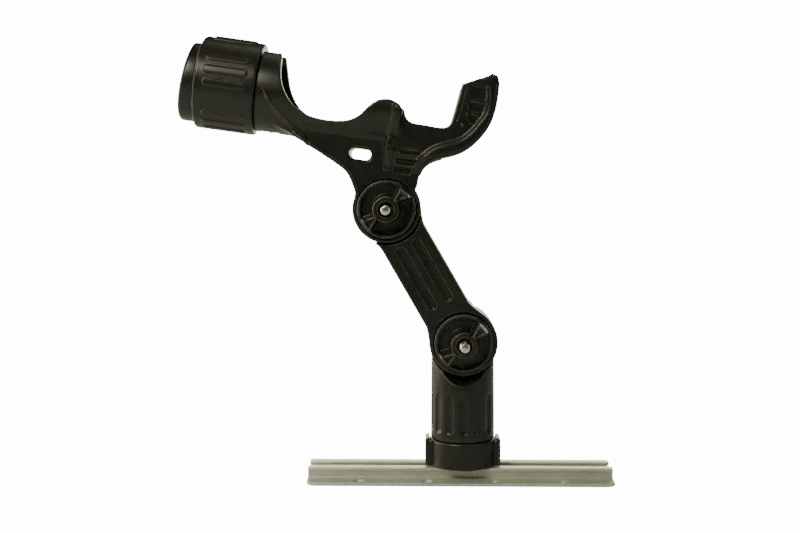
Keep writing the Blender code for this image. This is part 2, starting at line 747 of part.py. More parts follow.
def make_arm():
    """A straight bar with a front hub at its lower end and a rear hub at its upper end."""
    join_angle = acos(ARM_HALF_WIDTH / HUB_RADIUS)
    neck = hub_neck(ARM_FILLET)
    outline = arc((0, 0), HUB_RADIUS, pi - join_angle, 2 * pi + join_angle)
    outline += [(ARM_HALF_WIDTH, neck), (ARM_HALF_WIDTH, ARM_LENGTH - neck)]
    outline += arc((0, ARM_LENGTH), HUB_RADIUS, -join_angle, pi + join_angle)
    outline += [(-ARM_HALF_WIDTH, ARM_LENGTH - neck), (-ARM_HALF_WIDTH, neck)]
    arm = link_mesh("arm_body", slab(outline, -HUB_FRONT, HUB_BACK), parts)
    to_top = Matrix.Translation((0, 0, ARM_LENGTH))
    cut(arm, rod(RELIEF_RADIUS, -HUB_BACK - OVERLAP, LAP_GAP))
    cut(arm, moved(rod(RELIEF_RADIUS, -LAP_GAP, HUB_FRONT + OVERLAP), to_top))
    cut_front_hub(arm)
    cut_back_hub(arm, to_top)
    half = ARM_GROOVE_HALF_WIDTH
    grooves = []
    for side in (-1, 1):
        centre = side * ARM_GROOVE_CENTRE
        outline = arc((centre, ARM_GROOVE_END - half), half, 0, pi)
        outline += arc((centre, ARM_GROOVE_START + half), half, pi, 2 * pi)
        grooves.append(slab(outline, -HUB_FRONT - OVERLAP, -HUB_FRONT + ARM_GROOVE_DEPTH))
        grooves.append(slab(outline, HUB_BACK - ARM_GROOVE_DEPTH, HUB_BACK + OVERLAP))
    cut(arm, joined(grooves))
    return finish_part(arm, black_plastic, arm_axis)


def hub_neck(fillet):
    """How far along the bar a fillet between the hub's rim and the bar's side ends."""
    return sqrt((HUB_RADIUS + fillet) ** 2 - (ARM_HALF_WIDTH + fillet) ** 2)


# ---------------------------------------------------------------- cradle and collar


def cradle_tube():
    """The rear tube with its end ring and the collar's seat, about the tube axis."""
    step = TUBE_MOUTH_STEP
    seat_start = COLLAR_START - GAP
    seat_end = COLLAR_END + GAP
    back = TUBE_END
    edge = TUBE_END_EDGE
    profile = [
        (TUBE_BORE, TROUGH_END + OVERLAP),
        (TUBE_RADIUS, TROUGH_END + OVERLAP),
        (TUBE_RADIUS, seat_end),
        (COLLAR_SEAT_RADIUS, seat_end),
        (COLLAR_SEAT_RADIUS, seat_start),
        (TUBE_END_RADIUS, seat_start),
        (TUBE_END_RADIUS, back + edge),
        (TUBE_END_RADIUS - 0.3 * edge, back + 0.3 * edge),
        (TUBE_END_RADIUS - edge, back),
        (TUBE_BORE + step, back),
        (TUBE_BORE, back + step),
    ]
    mesh = turned(profile, ROUND_STEPS, TO_X)
    return moved(mesh, Matrix.Translation((0, 0, TUBE_AXIS)))


def wall_outline():
    """What the tube's wall is trimmed to, seen from the side: it sweeps down from the ring
    behind the collar, runs low along the trough and rises to the hump before the fork."""
    top = smooth_line(
        in_mm([(-82.3, 95.5), (-81.5, 87), (-78.4, 72.1), (-72.3, 61.8), (-65.5, 56.4),
               (-57.5, 53.3), (-47.6, 52.3), (-39.4, 52.7), (-31.5, 54.6), (-25.4, 58.6),
               (-20.6, 64.6), (-15, 69.4), (-8, 71.0), (-2, 69.0), (TROUGH_END / MM, 65.5)])
    )
    under = in_mm([(TROUGH_END / MM, 36), (TUBE_END / MM - 5, 36), (TUBE_END / MM - 5, 95.5)])
    return top + under


def web_outline():
    """The flat web from the trough's underside down to the hub."""
    right = smooth_line(
        in_mm([(30.5, 37.7), (24.3, 34.6), (20.4, 30.6), (18.3, 25), (17.8, 17.8)]), 3)
    left = smooth_line(
        in_mm([(-21.2, 7.5), (-23.4, 12.2), (-28.2, 19.7), (-35.6, 25.0), (-57.3, 35.2),
               (-67.2, 39.6)]), 3)
    start = atan_of(right[-1])
    end = atan_of(left[0])
    rim = arc((0, 0), HUB_RADIUS, start - 0.12, end - 2 * pi)
    return right + rim + left + in_mm([(-80, 44.5), (-60, 50), (30.5, 50)])


def atan_of(point):
    angle = acos(point[0] / sqrt(point[0] ** 2 + point[1] ** 2))
    return angle if point[1] >= 0 else -angle


def fork_outline():
    """The fork's arm from the side: a level saddle, then a tall curved horn."""
    inside = smooth_line(
        in_mm([(TROUGH_END / MM, 65.4), (4.2, 61.4), (8.5, 58.3), (18, 57.8), (26.6, 57.5),
               (31.6, 58.7), (34.2, 63.2), (35.7, 72), (37.6, 87.4)]), 3)
    outside = smooth_line(
        in_mm([(61.7, 91.5), (61.9, 78), (59.9, 65.5), (55, 55.2), (47.7, 46.4),
               (39.8, 41.3), (30.5, 37.7), (24.3, 34.6), (20.4, 30.6)]), 3)
    tip = in_mm([(54.1, 95.6), (56.2, 97.6), (60.2, 96.0)])
    foot = in_mm([(-3, 30.6), (FORK_START / MM, 36), (FORK_START / MM, 60), (-4, 64.4)])
    return inside + tip + outside + foot


def flank_pockets(places, face, depth):
    """Cutters for shallow pockets in both flanks, each from one corner to the other."""
    outer = FORK_HALF_WIDTH + 2 * OVERLAP
    made = []
    for x0, z0, x1, z1 in places:
        made.append(box((x0 * MM, face - depth, z0 * MM), (x1 * MM, outer, z1 * MM)))
        made.append(box((x0 * MM, -outer, z0 * MM), (x1 * MM, depth - face, z1 * MM)))
    return joined(made)


def oblique_end():
    """What the tube's open end is cut back by, so that its mouth slants."""
    reach = 3 * TUBE_RADIUS
    cutter = box((-reach, -reach, -reach), (0, reach, reach))
    middle = TUBE_END + TUBE_END_RADIUS * sin(TUBE_END_TILT)
    turn = Matrix.Rotation(TUBE_END_TILT, 4, "Y")
    return moved(cutter, Matrix.Translation((middle, 0, TUBE_AXIS)) @ turn)


def drain_notches():
    """Two shallow notches under the ring behind the collar."""
    made = []
    for start, end in NOTCHES:
        bottom = TUBE_AXIS - TUBE_RADIUS
        low = (start, -NOTCH_HALF_WIDTH, bottom - 2 * NOTCH_DEPTH)
        made.append(box(low, (end, NOTCH_HALF_WIDTH, bottom + NOTCH_DEPTH)))
    return joined(made)


def make_cradle():
    cradle = link_mesh("cradle_body", cradle_tube(), parts)
    keep(cradle, slab(wall_outline(), -CRADLE_SIDE, CRADLE_SIDE))
    join(cradle, slab(web_outline(), -WEB_HALF_WIDTH, HUB_BACK))
    join(cradle, slab(fork_outline(), -FORK_HALF_WIDTH, FORK_HALF_WIDTH))
    behind = TUBE_END - CUTTER_REACH
    bore = rod(TUBE_BORE, behind, FORK_START - OVERLAP, ROUND_STEPS, TO_X)
    cut(cradle, moved(bore, Matrix.Translation((0, 0, TUBE_AXIS))))
    channel = arc((0, FORK_CHANNEL_AXIS), FORK_CHANNEL_HALF_WIDTH, pi, 2 * pi)
    channel += [(FORK_CHANNEL_HALF_WIDTH, CRADLE_TOP), (-FORK_CHANNEL_HALF_WIDTH, CRADLE_TOP)]
    cut(cradle, slab(channel, FORK_START - CUTTER_REACH / 2, FORK_END, ALONG_X))
    slot = [
        (-TUBE_SLOT_HALF_WIDTH, TUBE_AXIS + OVERLAP),
        (TUBE_SLOT_HALF_WIDTH, TUBE_AXIS + OVERLAP),
        (TUBE_SLOT_HALF_WIDTH, CRADLE_TOP),
        (-TUBE_SLOT_HALF_WIDTH, CRADLE_TOP),
    ]
    cut(cradle, slab(slot, behind, TUBE_SLOT_END, ALONG_X))
    cut(cradle, oblique_end())
    cut(cradle, rod(RELIEF_RADIUS, -HUB_BACK - CUTTER_REACH, LAP_GAP))
    cut_front_hub(cradle)
    x, z = WINDOW_CENTRE
    reach = WINDOW_LENGTH / 2 - WINDOW_RADIUS
    window = arc((x + reach, z), WINDOW_RADIUS, -pi / 2, pi / 2)
    window += arc((x - reach, z), WINDOW_RADIUS, pi / 2, 1.5 * pi)
    cut(cradle, slab(window, -CRADLE_SIDE, CRADLE_SIDE))
    cut(cradle, flank_pockets(FORK_POCKETS, FORK_HALF_WIDTH, FORK_POCKET_DEPTH))
    cut(cradle, flank_pockets(BLOCK_SLOTS, FORK_HALF_WIDTH, FORK_POCKET_DEPTH))
    cut(cradle, flank_pockets(WEB_SLOTS, WEB_HALF_WIDTH, WEB_SLOT_DEPTH))
    cut(cradle, drain_notches())
    return finish_part(cradle, black_plastic, cradle_axis)


def make_collar():
    """An open ring that turns on the tube and closes its slot, with grip ribs in groups."""
    edge = COLLAR_EDGE
    middle = (COLLAR_START + COLLAR_END) / 2
    half = (COLLAR_END - COLLAR_START) / 2
    bore = COLLAR_SEAT_RADIUS + GAP
    profile = [
        (bore, half),
        (COLLAR_RADIUS - edge, half),
        (COLLAR_RADIUS - 0.3 * edge, half - 0.3 * edge),
        (COLLAR_RADIUS, half - edge),
        (COLLAR_RADIUS, -half + edge),
        (COLLAR_RADIUS - 0.3 * edge, -half + 0.3 * edge),
        (COLLAR_RADIUS - edge, -half),
        (bore, -half),
    ]
    collar = link_mesh("collar", turned(profile, ROUND_STEPS, TO_X), parts)
    rib_half = COLLAR_RIB_HALF_WIDTH
    reach = COLLAR_RIB_LENGTH / 2 - rib_half
    rib = arc((reach, 0), rib_half, -pi / 2, pi / 2)
    rib += arc((-reach, 0), rib_half, pi / 2, 1.5 * pi)
    ribs = []
    for place in range(COLLAR_PLACES):
        if place == COLLAR_OPEN_PLACE:
            continue
        for step in (-1, 0, 1):
            angle = COLLAR_FIRST_GROUP + place * COLLAR_PITCH + step * COLLAR_RIB_PITCH
            mesh = slab(rib, COLLAR_RADIUS - OVERLAP, COLLAR_RADIUS + COLLAR_RIB_HEIGHT,
                        UPRIGHT)
            ribs.append(moved(mesh, Matrix.Rotation(angle, 4, "X")))
    join(collar, joined(ribs))
    width = COLLAR_OPENING_HALF_WIDTH
    opening = box((-half - OVERLAP, -width, 0), (half + OVERLAP, width, CRADLE_SIDE))
    angle = COLLAR_FIRST_GROUP + COLLAR_OPEN_PLACE * COLLAR_PITCH
    cut(collar, moved(opening, Matrix.Rotation(angle, 4, "X")))
    obj = finish_part(collar, black_plastic, cradle_axis)
    obj.location = (middle, 0, TUBE_AXIS)
    return obj


clear_scene()
parts = new_collection("rod_holder")
cutters = new_collection("cutters", hidden=True)

black_plastic = make_material("black_plastic", (0.022, 0.022, 0.017), 0.38)
aluminium = make_material("aluminium", (0.60, 0.59, 0.54), 0.34, 1.0)
steel = make_material("steel", (0.72, 0.71, 0.68), 0.28, 1.0)
brass = make_material("brass", (0.70, 0.52, 0.22), 0.32, 1.0)

slide_axis = empty_at("slide_axis", (HOLDER_X, 0, 0))
swivel_axis = empty_at("swivel_axis", (0, 0, 0), slide_axis)
lower_joint = empty_at("lower_joint", (0, 0, LOWER_JOINT_Z), swivel_axis)
arm_axis = empty_at("arm_axis", (0, 0, 0), lower_joint, ARM_LEAN)
upper_joint = empty_at("upper_joint", (0, 0, ARM_LENGTH), arm_axis)
cradle_axis = empty_at("cradle_axis", (0, 0, 0), upper_joint, CRADLE_TILT - ARM_LEAN)

make_rail()
make_shoe()
make_rail_bolt()
make_post(*make_clamp())
make_joint_hardware("lower", lower_joint, lower_joint)
make_arm()
make_joint_hardware("upper", upper_joint, upper_joint)
make_cradle()
make_collar()
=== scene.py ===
"""A clamp-on rod holder: moulded black plastic on an aluminium rail.

Each piece is written as a signed distance in millimetres, negative inside, so that its
edges and fillets are truly round. It is sampled on a grid and turned into a mesh. Joints
turn about Y, and a height towards the front is -y.
"""

from math import acos, ceil, cos, pi, radians, sin, sqrt

import bpy
import numpy as np
import openvdb as vdb
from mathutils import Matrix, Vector


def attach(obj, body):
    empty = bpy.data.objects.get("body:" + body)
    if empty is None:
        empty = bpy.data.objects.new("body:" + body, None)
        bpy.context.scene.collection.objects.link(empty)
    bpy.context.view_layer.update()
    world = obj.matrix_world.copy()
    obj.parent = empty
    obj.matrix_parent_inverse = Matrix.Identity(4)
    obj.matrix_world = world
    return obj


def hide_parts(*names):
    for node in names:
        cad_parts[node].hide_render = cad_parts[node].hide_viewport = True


# Lengths below are in millimetres
MM = 0.001
GAP = 0.3
SUNK_IN = 0.3

# Rail
RAIL_HALF_LENGTH = 101.6
RAIL_HALF_WIDTH = 27.4
RAIL_HEIGHT = 8.4
FLANGE = 2.0
FLANGE_CORNER = 7.0
WALL_OUTER = 11.5
WALL_INNER = 9.5
LIP_OUTER = 12.5
LIP_BOTTOM = 6.3
SLOT_HALF = 4.3
CHANNEL_FLOOR = 1.8
HOLE_STATIONS = (-67.2, -22.4, 22.4, 67.2)
HOLE_Y = 20.0
HOLE_RADIUS = 2.2
SINK_RADIUS = 3.9
DRILL_TOP = FLANGE + 0.4

# Shoe, clamp and post
HOLDER_X = 2.0
SHOE_RADIUS = 22.0
SHOE_BORE = 18.9
SHOE_BOTTOM = 8.7
SHOE_FLOOR = 12.9
SHOE_TOP = 26.5
EAR_REACH = 25.2
EAR_HALF_WIDTH = 8.0
EAR_TOP = 27.6
KEY_HALF_LENGTH = 16.0
KEY_DEPTH = 1.9
TEE_HALF_LENGTH = 8.0
TEE_HALF_WIDTH = 5.7
TEE_CORNER = 3.0
TEE_THICKNESS = 3.2
BOLT_RADIUS = 3.175
THREAD_PITCH = 1.27
THREAD_DEPTH = 0.62
THREAD_RUNOUT = 0.8
TIP_DOME = 9
HOLE = BOLT_RADIUS + GAP
HEX_FLATS = 11.1
HEX_CORNER = 5.9
WASHER_RADIUS = 8.0
WASHER = 1.4
CLAMP_WASHER_RADIUS = 12.0
CLAMP_STEM = 18
POST_BOTTOM = 27.2
POST_FOOT = 28
POST_FOOT_RADIUS = 21.3
POST_MIDDLE_RADIUS = 21.1
POST_DRAFT = 0.4
POST_LENGTH = 65
SPIGOT_RADIUS = 18.4
SPIGOT_TOP = 40
FLUTES = 14
FLUTE_LOW = 32.0
FLUTE_HIGH = 58.0
FLUTE_HALF = 3.2
FLUTE_DEPTH = 1.0
CLAMP_FLATS = 17.0
CLAMP_CORNER = 9.2
CLAMP_BEVEL_START = 2.9
CLAMP_HEIGHT = 8.0
PLATE_RADIUS = 14.0
PLATE = 2.0
PLATE_TOP = SHOE_FLOOR + GAP + WASHER + GAP + PLATE

# Joints
LOWER_Z = 93.0
ARM_LENGTH = 101.6
ARM_LEAN = radians(-30)
CRADLE_TILT = radians(8)
UPPER_X = HOLDER_X + ARM_LENGTH * sin(ARM_LEAN)
UPPER_Z = LOWER_Z + ARM_LENGTH * cos(ARM_LEAN)
HUB = 22.6
RELIEF = 23.6
HUB_FRONT = 17.5
HUB_BACK = 17.0
HEAD_BACK = -17.0
HEAD_BEVEL_START = 16.2
HEAD_FRONT = -13.0
ROD_BACK = -13.5
ROD_THREAD_START = 2.0
TEETH = 24
TOOTH_INNER = 9.5
TOOTH_OUTER = 19.0
TOOTH_DEPTH = 1.2
DISH_RADIUS = 20.0
DISH_FLOOR = 12.5
WELL_RADIUS = 9.0
WELL_FLOOR = 11.0
BOLT_TIP = 42.0

# Knob
KNOB = 19.3
KNOB_BACK = DISH_FLOOR + GAP + WASHER + GAP
KNOB_RIM = 22.0
KNOB_FACE = 19.4
KNOB_HUB = 8.6
KNOB_HUB_BASE = 9.8
NUT_LIP = 5.0
NUT_BEVEL = 0.9
RIM_WIDTH = 2.2
KNOB_HUB_FRONT = 32.0
POCKET = 6.9
POCKET_FLOOR = 23.0
NUT_FRONT = 28.0
POCKET_ROOM = 1.4
WING_FRONT = 34.0
WING_ANGLES = (radians(42), radians(219))
WING_HALF_ANGLE = radians(19)
WING_INNER = 7.6
WING_OUTER = 18.3
WING_SIDE_DRAFT = 0.12
WING_END_DRAFT = 0.10
WING_DIP = 1.1
WING_DIP_RADIUS = 13.2
WING_DIP_SPREAD = 3.4
WING_WALL = 1.3
WING_HOLLOW = 2.2

# Arm
ARM_HALF_WIDTH = 16.2
ARM_MIDDLE = (HUB_BACK - HUB_FRONT) / 2
ARM_FILLET = 5.0
GROOVE_CENTRE = 5.9
GROOVE_HALF = 2.9
GROOVE_LOW = 29.0
GROOVE_HIGH = 75.0
GROOVE_FLOOR = 14.5

# Cradle, whose tube runs along X
AXIS = 66.8
TUBE_END = -146.3
MOUTH_SLOPE = 0.0928
TUBE = 27.6
TUBE_START = -94.5
TUBE_BORE = 22.0
BORE_END = -7
TUBE_SLOT_HALF = 11.2
TUBE_SLOT_END = -70
SEAT = 24.7
SEAT_END = -90
END_RING = 27.2
END_RING_INNER_X = -135.1
NOTCHES = ((-91.5, -85.5), (-83.5, -78.5))
NOTCH_HALF = 5.0
NOTCH_DEPTH = 1.6
TROUGH_END = 2.5
FORK_HALF = 22.5
FORK_CRISP = 1.3
FORK_SOFTER = 2.4
FORK_BLEND = 8
FOOT_TOP = 38
FOOT_LENGTH = 11
FOOT_TAPER = 0.45
HORN_SHOULDER = 88.6
HORN_TAPER = 0.30
FLANK_OF_FORK = 18.0
FLANK_OF_WEB = 12.0
CHANNEL_HALF = 13.0
CHANNEL_AXIS = 65.0
CHANNEL_START = -10
WINDOW_ENDS = ((-26.0, 33.5), (-18.6, 33.5))
WINDOW_RADIUS = 3.6

# Collar: five panels of three ribs, one of them left out for the opening
COLLAR_START = -134.8
COLLAR_END = -94.8
COLLAR_HALF_LENGTH = 20
COLLAR = 30.6
COLLAR_BORE = 25.0
COLLAR_FIRST_RIB = 4.5
PANELS = 5
PANEL_STEP = 72
OPEN_PANEL = 3
OPENING_HALF = 11.7
RIB_STEP = 16
RIB_HALF_LENGTH = 11.7
RIB_HALF_WIDTH = 2.3
RIB_HEIGHT = 0.9

COARSER = 1.0
MARGIN = 3
SNAPS = 2
EDGE_REACH = 1.2

# Colours of the plastic: its darker and lighter patches, and its edges, lightened partly as
# rubbing wear and partly as a painted highlight
PLASTIC_DARK = (0.0056, 0.0054, 0.0033)
PLASTIC_LIGHT = (0.0120, 0.0117, 0.0074)
PLASTIC_WORN_AND_PAINTED_HIGHLIGHT = (0.115, 0.112, 0.084)

# How white the ground and room look, how much light the room gives, and the lamps' colour
SEEN_WHITE = 14.0
ROOM_GLOW = 0.035
LAMP_COLOUR = (1.0, 0.99, 0.78)

# Camera
LENS = 50.3
SENSOR = 36
SHIFT_Y = -0.0530
CAMERA_PLACE = (-0.0265, -0.750, 0.200)
CAMERA_TURN = (radians(90 - 2.25), 0, radians(1.05))


# ---------------------------------------------------------------- distances
#
# In both, either and less the last number is the radius of the edge or fillet.


def both(a, b, r=0.0):
    """What two shapes share, with its edge rounded to radius r."""
    if np.isscalar(r) and not r:
        return np.maximum(a, b)
    a = a + r
    b = b + r
    outside = np.hypot(np.maximum(a, 0), np.maximum(b, 0))
    return np.minimum(np.maximum(a, b), 0) + outside - r


def either(a, b, r=0.0):
    """Two shapes joined, with a fillet of radius r in the corner."""
    return -both(-a, -b, r)


def less(a, b, r=0.0):
    """a with b cut away, the new edge rounded to radius r."""
    return both(a, -b, r)


def between(value, low, high):
    return np.maximum(low - value, value - high)


def capsule(x, z, start, end, radius):
    """Distance in a plane from a thick line with round ends."""
    ex, ez = end[0] - start[0], end[1] - start[1]
    t = np.clip(((x - start[0]) * ex + (z - start[1]) * ez) / (ex * ex + ez * ez), 0, 1)
    return np.hypot(x - start[0] - ex * t, z - start[1] - ez * t) - radius


def stroke(points, x, z):
    """Distance in a plane from a curve through the points."""
    line = smooth_line(points)
    nearest = capsule(x, z, line[0], line[1], 0)
    for start, end in zip(line[1:], line[2:]):
        nearest = np.minimum(nearest, capsule(x, z, start, end, 0))
    return nearest


def plate(x, z, x0, z0, x1, z1, corner):
    """Signed distance in a plane from a rectangle with rounded corners."""
    return both(between(x, x0, x1), between(z, z0, z1), corner)


def raised(body, plan, beside, height):
    """Stands the plan's shape proud of the body, on the side where beside is negative."""
    relief = both(both(plan, body - height, 0.35), beside)
    return either(body, relief, 0.4)


def sunk(body, plan, floor):
    """Sinks the plan's shape into the body, as far as where floor is zero."""
    return less(body, both(plan, floor, 0.3), 0.35)


def outline(points, x, z):
    """Signed distance in a plane from a closed outline."""
    nearest = np.full(np.broadcast(x, z).shape, 1e9, np.float32)
    inside = np.zeros(nearest.shape, bool)
    for (ax, az), (bx, bz) in zip(points, points[1:] + points[:1]):
        ex, ez = bx - ax, bz - az
        t = np.clip(((x - ax) * ex + (z - az) * ez) / (ex * ex + ez * ez), 0, 1)
        nearest = np.minimum(nearest, (x - ax - ex * t) ** 2 + (z - az - ez * t) ** 2)
        if ez:
            crosses = ((az <= z) != (bz <= z)) & (x < ax + (z - az) * ex / ez)
            inside ^= crosses
    return np.sqrt(nearest) * np.where(inside, -1, 1)


def hexagon(x, z, flats):
    across = [np.abs(x * cos(a) + z * sin(a)) for a in (0, pi / 3, 2 * pi / 3)]
    return np.maximum(np.maximum(across[0], across[1]), across[2]) - flats / 2


def arc(centre, radius, start, end, steps=24):
    return [
        (centre[0] + radius * cos(start + (end - start) * i / steps),
         centre[1] + radius * sin(start + (end - start) * i / steps))
        for i in range(steps + 1)
    ]


def smooth_line(points, steps=8):
    """A curve through the points."""
    found = []
    ends = [points[0]] + points + [points[-1]]
    for i in range(len(points) - 1):
        p0, p1, p2, p3 = ends[i:i + 4]
        for k in range(steps):
            t = k / steps
            found.append(tuple(
                0.5 * (2 * b + (c - a) * t + (2 * a - 5 * b + 4 * c - d) * t * t
                       + (3 * b - a - 3 * c + d) * t ** 3)
                for a, b, c, d in zip(p0, p1, p2, p3)
            ))
    return found + [points[-1]]


# ---------------------------------------------------------------- from distances to meshes


def sampled(field, origin, voxel, points):
    """The field at the points, by trilinear interpolation."""
    place = (points - origin) / voxel
    low = np.clip(np.floor(place).astype(int), 0, np.array(field.shape) - 2)
    part = (place - low).astype(np.float32)
    total = 0
    for i in (0, 1):
        for j in (0, 1):
            for k in (0, 1):
                weight = (np.where(i, part[:, 0], 1 - part[:, 0])
                          * np.where(j, part[:, 1], 1 - part[:, 1])
                          * np.where(k, part[:, 2], 1 - part[:, 2]))
                total = total + weight * field[low[:, 0] + i, low[:, 1] + j, low[:, 2] + k]
    return total


def slopes(field, origin, voxel, points, reach):
    """The field's gradient and its Laplacian at the points."""
    here = sampled(field, origin, voxel, points)
    gradient = np.zeros_like(points)
    laplacian = -6 * here
    for axis in range(3):
        step = np.zeros(3)
        step[axis] = reach
        ahead = sampled(field, origin, voxel, points + step)
        behind = sampled(field, origin, voxel, points - step)
        gradient[:, axis] = ahead - behind
        laplacian = laplacian + ahead + behind
    length = np.linalg.norm(gradient, axis=1, keepdims=True)
    return here, gradient / np.maximum(length, 1e-6), laplacian / reach ** 2


def placed(points, turn, origin):
    """Local points turned about +Y and moved, with the result in metres."""
    x = points[:, 0] * cos(turn) + points[:, 2] * sin(turn) + origin[0]
    z = -points[:, 0] * sin(turn) + points[:, 2] * cos(turn) + origin[2]
    return np.stack([x, points[:, 1] + origin[1], z], axis=1) * MM


def turned_only(vectors, turn):
    x = vectors[:, 0] * cos(turn) + vectors[:, 2] * sin(turn)
    z = -vectors[:, 0] * sin(turn) + vectors[:, 2] * cos(turn)
    return np.stack([x, vectors[:, 1], z], axis=1)


def sculpt(shape, low, high, voxel, faces):
    """A mesh of the shape: its vertices, triangles, normals and how edge-like each point is.

    The vertices are snapped to the surface and stay inside the box from low to high.
    """
    voxel = voxel * COARSER
    box = np.array(low, float), np.array(high, float)
    low = box[0] - MARGIN * voxel
    counts = [int(ceil((b - a) / voxel)) + MARGIN + 1 for a, b in zip(low, high)]
    x, y, z = (
        (low[i] + voxel * np.arange(counts[i])).astype(np.float32) for i in range(3)
    )
    field = shape(x[:, None, None], y[None, :, None], z[None, None, :])
    field = np.ascontiguousarray(np.broadcast_to(field, counts), np.float32)
    band = MARGIN * voxel
    grid = vdb.FloatGrid(band)
    grid.copyFromArray(np.clip(field, -band, band))
    grid.gridClass = vdb.GridClass.LEVEL_SET
    grid.transform = vdb.createLinearTransform(voxelSize=voxel)
    points, quads = grid.convertToQuads(0.0)
    mesh = bpy.data.meshes.new("rough")
    mesh.from_pydata((points + low).tolist(), [], quads.tolist())
    rough = bpy.data.objects.new("rough", mesh)
    bpy.context.scene.collection.objects.link(rough)
    wanted = faces / COARSER ** 2
    if 2 * len(quads) > wanted:
        lighter = rough.modifiers.new("lighter", "DECIMATE")
        lighter.ratio = wanted / (2 * len(quads))
    graph = bpy.context.evaluated_depsgraph_get()
    final = bpy.data.meshes.new_from_object(rough.evaluated_get(graph))
    bpy.data.objects.remove(rough)
    bpy.data.meshes.remove(mesh)
    vertices = np.zeros(len(final.vertices) * 3)
    final.vertices.foreach_get("co", vertices)
    vertices = vertices.reshape(-1, 3)
    final.calc_loop_triangles()
    triangles = np.zeros(len(final.loop_triangles) * 3, int)
    final.loop_triangles.foreach_get("vertices", triangles)
    triangles = triangles.reshape(-1, 3)
    bpy.data.meshes.remove(final)
    for _ in range(SNAPS):
        here, normals, _ = slopes(field, low, voxel, vertices, voxel)
        vertices = vertices - normals * np.clip(here, -voxel / 3, voxel / 3)[:, None]
    vertices = np.clip(vertices, *box)
    _, normals, _ = slopes(field, low, voxel, vertices, voxel)
    _, _, edge = slopes(field, low, voxel, vertices, EDGE_REACH)
    corners = vertices[triangles]
    volume = np.einsum("ij,ij->i", corners[:, 0], np.cross(corners[:, 1], corners[:, 2])).sum()
    if volume < 0:
        triangles = triangles[:, ::-1]
    return vertices, triangles, normals, edge


def piece(name, model, node, body, material, turn=0.0, origin=(0, 0, 0)):
    """Places a sculpted model as a piece that stands for a CAD node and rides on its body."""
    vertices, triangles, normals, edge = model
    mesh = bpy.data.meshes.new(name)
    mesh.from_pydata(placed(vertices, turn, origin).tolist(), [], triangles.tolist())
    mesh.polygons.foreach_set("use_smooth", np.ones(len(triangles), bool))
    mesh.normals_split_custom_set_from_vertices(turned_only(normals, turn).tolist())
    edge_mask = mesh.attributes.new("edge", "FLOAT", "POINT")
    edge_mask.data.foreach_set("value", np.clip(edge, -2, 2).astype(np.float32))
    mesh.materials.append(material)
    obj = bpy.data.objects.new(name, mesh)
    bpy.context.scene.collection.objects.link(obj)
    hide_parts(node)
    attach(obj, body)
    return obj


# ---------------------------------------------------------------- shapes shared by the joints


def bolt_line(x, y, z):
    """Distance from the joint's axis, and height towards the front."""
    return np.hypot(x, z), -y


def lap_teeth(x, z, depth):
    """V-shaped gaps between the radial teeth, where depth counts into the lap face."""
    wave = np.abs((np.arctan2(z, x) * TEETH / (2 * pi)) % 1 - 0.5) * 2
    return both(depth - TOOTH_DEPTH * wave, between(np.hypot(x, z), TOOTH_INNER, TOOTH_OUTER))


def cut_front_hub(body, x, y, z):
    """The knob's dish, the bolt hole and the teeth of a hub in front of the lap."""
    radius, height = bolt_line(x, y, z)
    body = less(body, both(radius - DISH_RADIUS, DISH_FLOOR - height), 0.5)
    body = less(body, radius - HOLE, 0.3)
    return less(body, lap_teeth(x, z, height - GAP))


def cut_back_hub(body, x, y, z):
    """The bolt head's well, the bolt hole and the teeth of a hub behind the lap."""
    radius, height = bolt_line(x, y, z)
    body = less(body, both(radius - WELL_RADIUS, height + WELL_FLOOR), 0.5)
    body = less(body, radius - HOLE, 0.3)
    return less(body, lap_teeth(x, z, -height - GAP))


# ---------------------------------------------------------------- the pieces


def rail_shape(x, y, z):
    side = np.abs(y)
    corner_x = np.maximum(np.abs(x) - RAIL_HALF_LENGTH + FLANGE_CORNER, 0)
    corner_y = np.maximum(side - RAIL_HALF_WIDTH + FLANGE_CORNER, 0)
    plan = np.hypot(corner_x, corner_y) - FLANGE_CORNER
    flange = both(plan, between(z, 0, FLANGE), 0.35)
    wall = both(between(side, WALL_INNER, WALL_OUTER), between(z, SUNK_IN, RAIL_HEIGHT - 0.5), 0.2)
    lip = both(between(side, SLOT_HALF, LIP_OUTER), between(z, LIP_BOTTOM, RAIL_HEIGHT), 0.7)
    floor = both(side - WALL_OUTER, between(z, SUNK_IN, CHANNEL_FLOOR), 0.2)
    section = either(either(wall, lip, 0.12), floor, 0.3)
    section = both(section, np.abs(x) - RAIL_HALF_LENGTH, 0.3)
    body = either(flange, section, 0.7)
    for station in HOLE_STATIONS:
        radius = np.hypot(x - station, side - HOLE_Y)
        sink = (radius - SINK_RADIUS + (FLANGE - z)) * sqrt(0.5)
        drilled = both(np.minimum(radius - HOLE_RADIUS, sink), z - DRILL_TOP)
        body = less(body, drilled, 0.12)
    return body


def shoe_shape(x, y, z):
    radius = np.hypot(x, y)
    cup = both(radius - SHOE_RADIUS, z - SHOE_TOP, 1.5)
    cup = both(cup, SHOE_BOTTOM - z, 1.2)
    reach = np.abs(x)
    ear = both(reach - EAR_REACH, z - EAR_TOP, 2.0)
    ear = both(ear, between(y, -EAR_HALF_WIDTH, EAR_HALF_WIDTH), 0.7)
    ear = both(ear, SHOE_BOTTOM + 0.4 - z, 0.7)
    ear = both(ear, SHOE_BORE + 1 - reach)
    ear = less(ear, both(reach - SHOE_RADIUS - GAP, SHOE_TOP - 1.2 - z), 0.5)
    body = either(cup, ear, 0.6)
    body = less(body, both(radius - SHOE_BORE, SHOE_FLOOR - z), 0.6)
    key = both(reach - KEY_HALF_LENGTH, np.abs(y) - SLOT_HALF + GAP, 0.6)
    key = both(key, between(z, SHOE_BOTTOM - KEY_DEPTH, SHOE_BOTTOM + 1), 0.3)
    body = either(body, key)
    return less(body, radius - HOLE, 0.3)


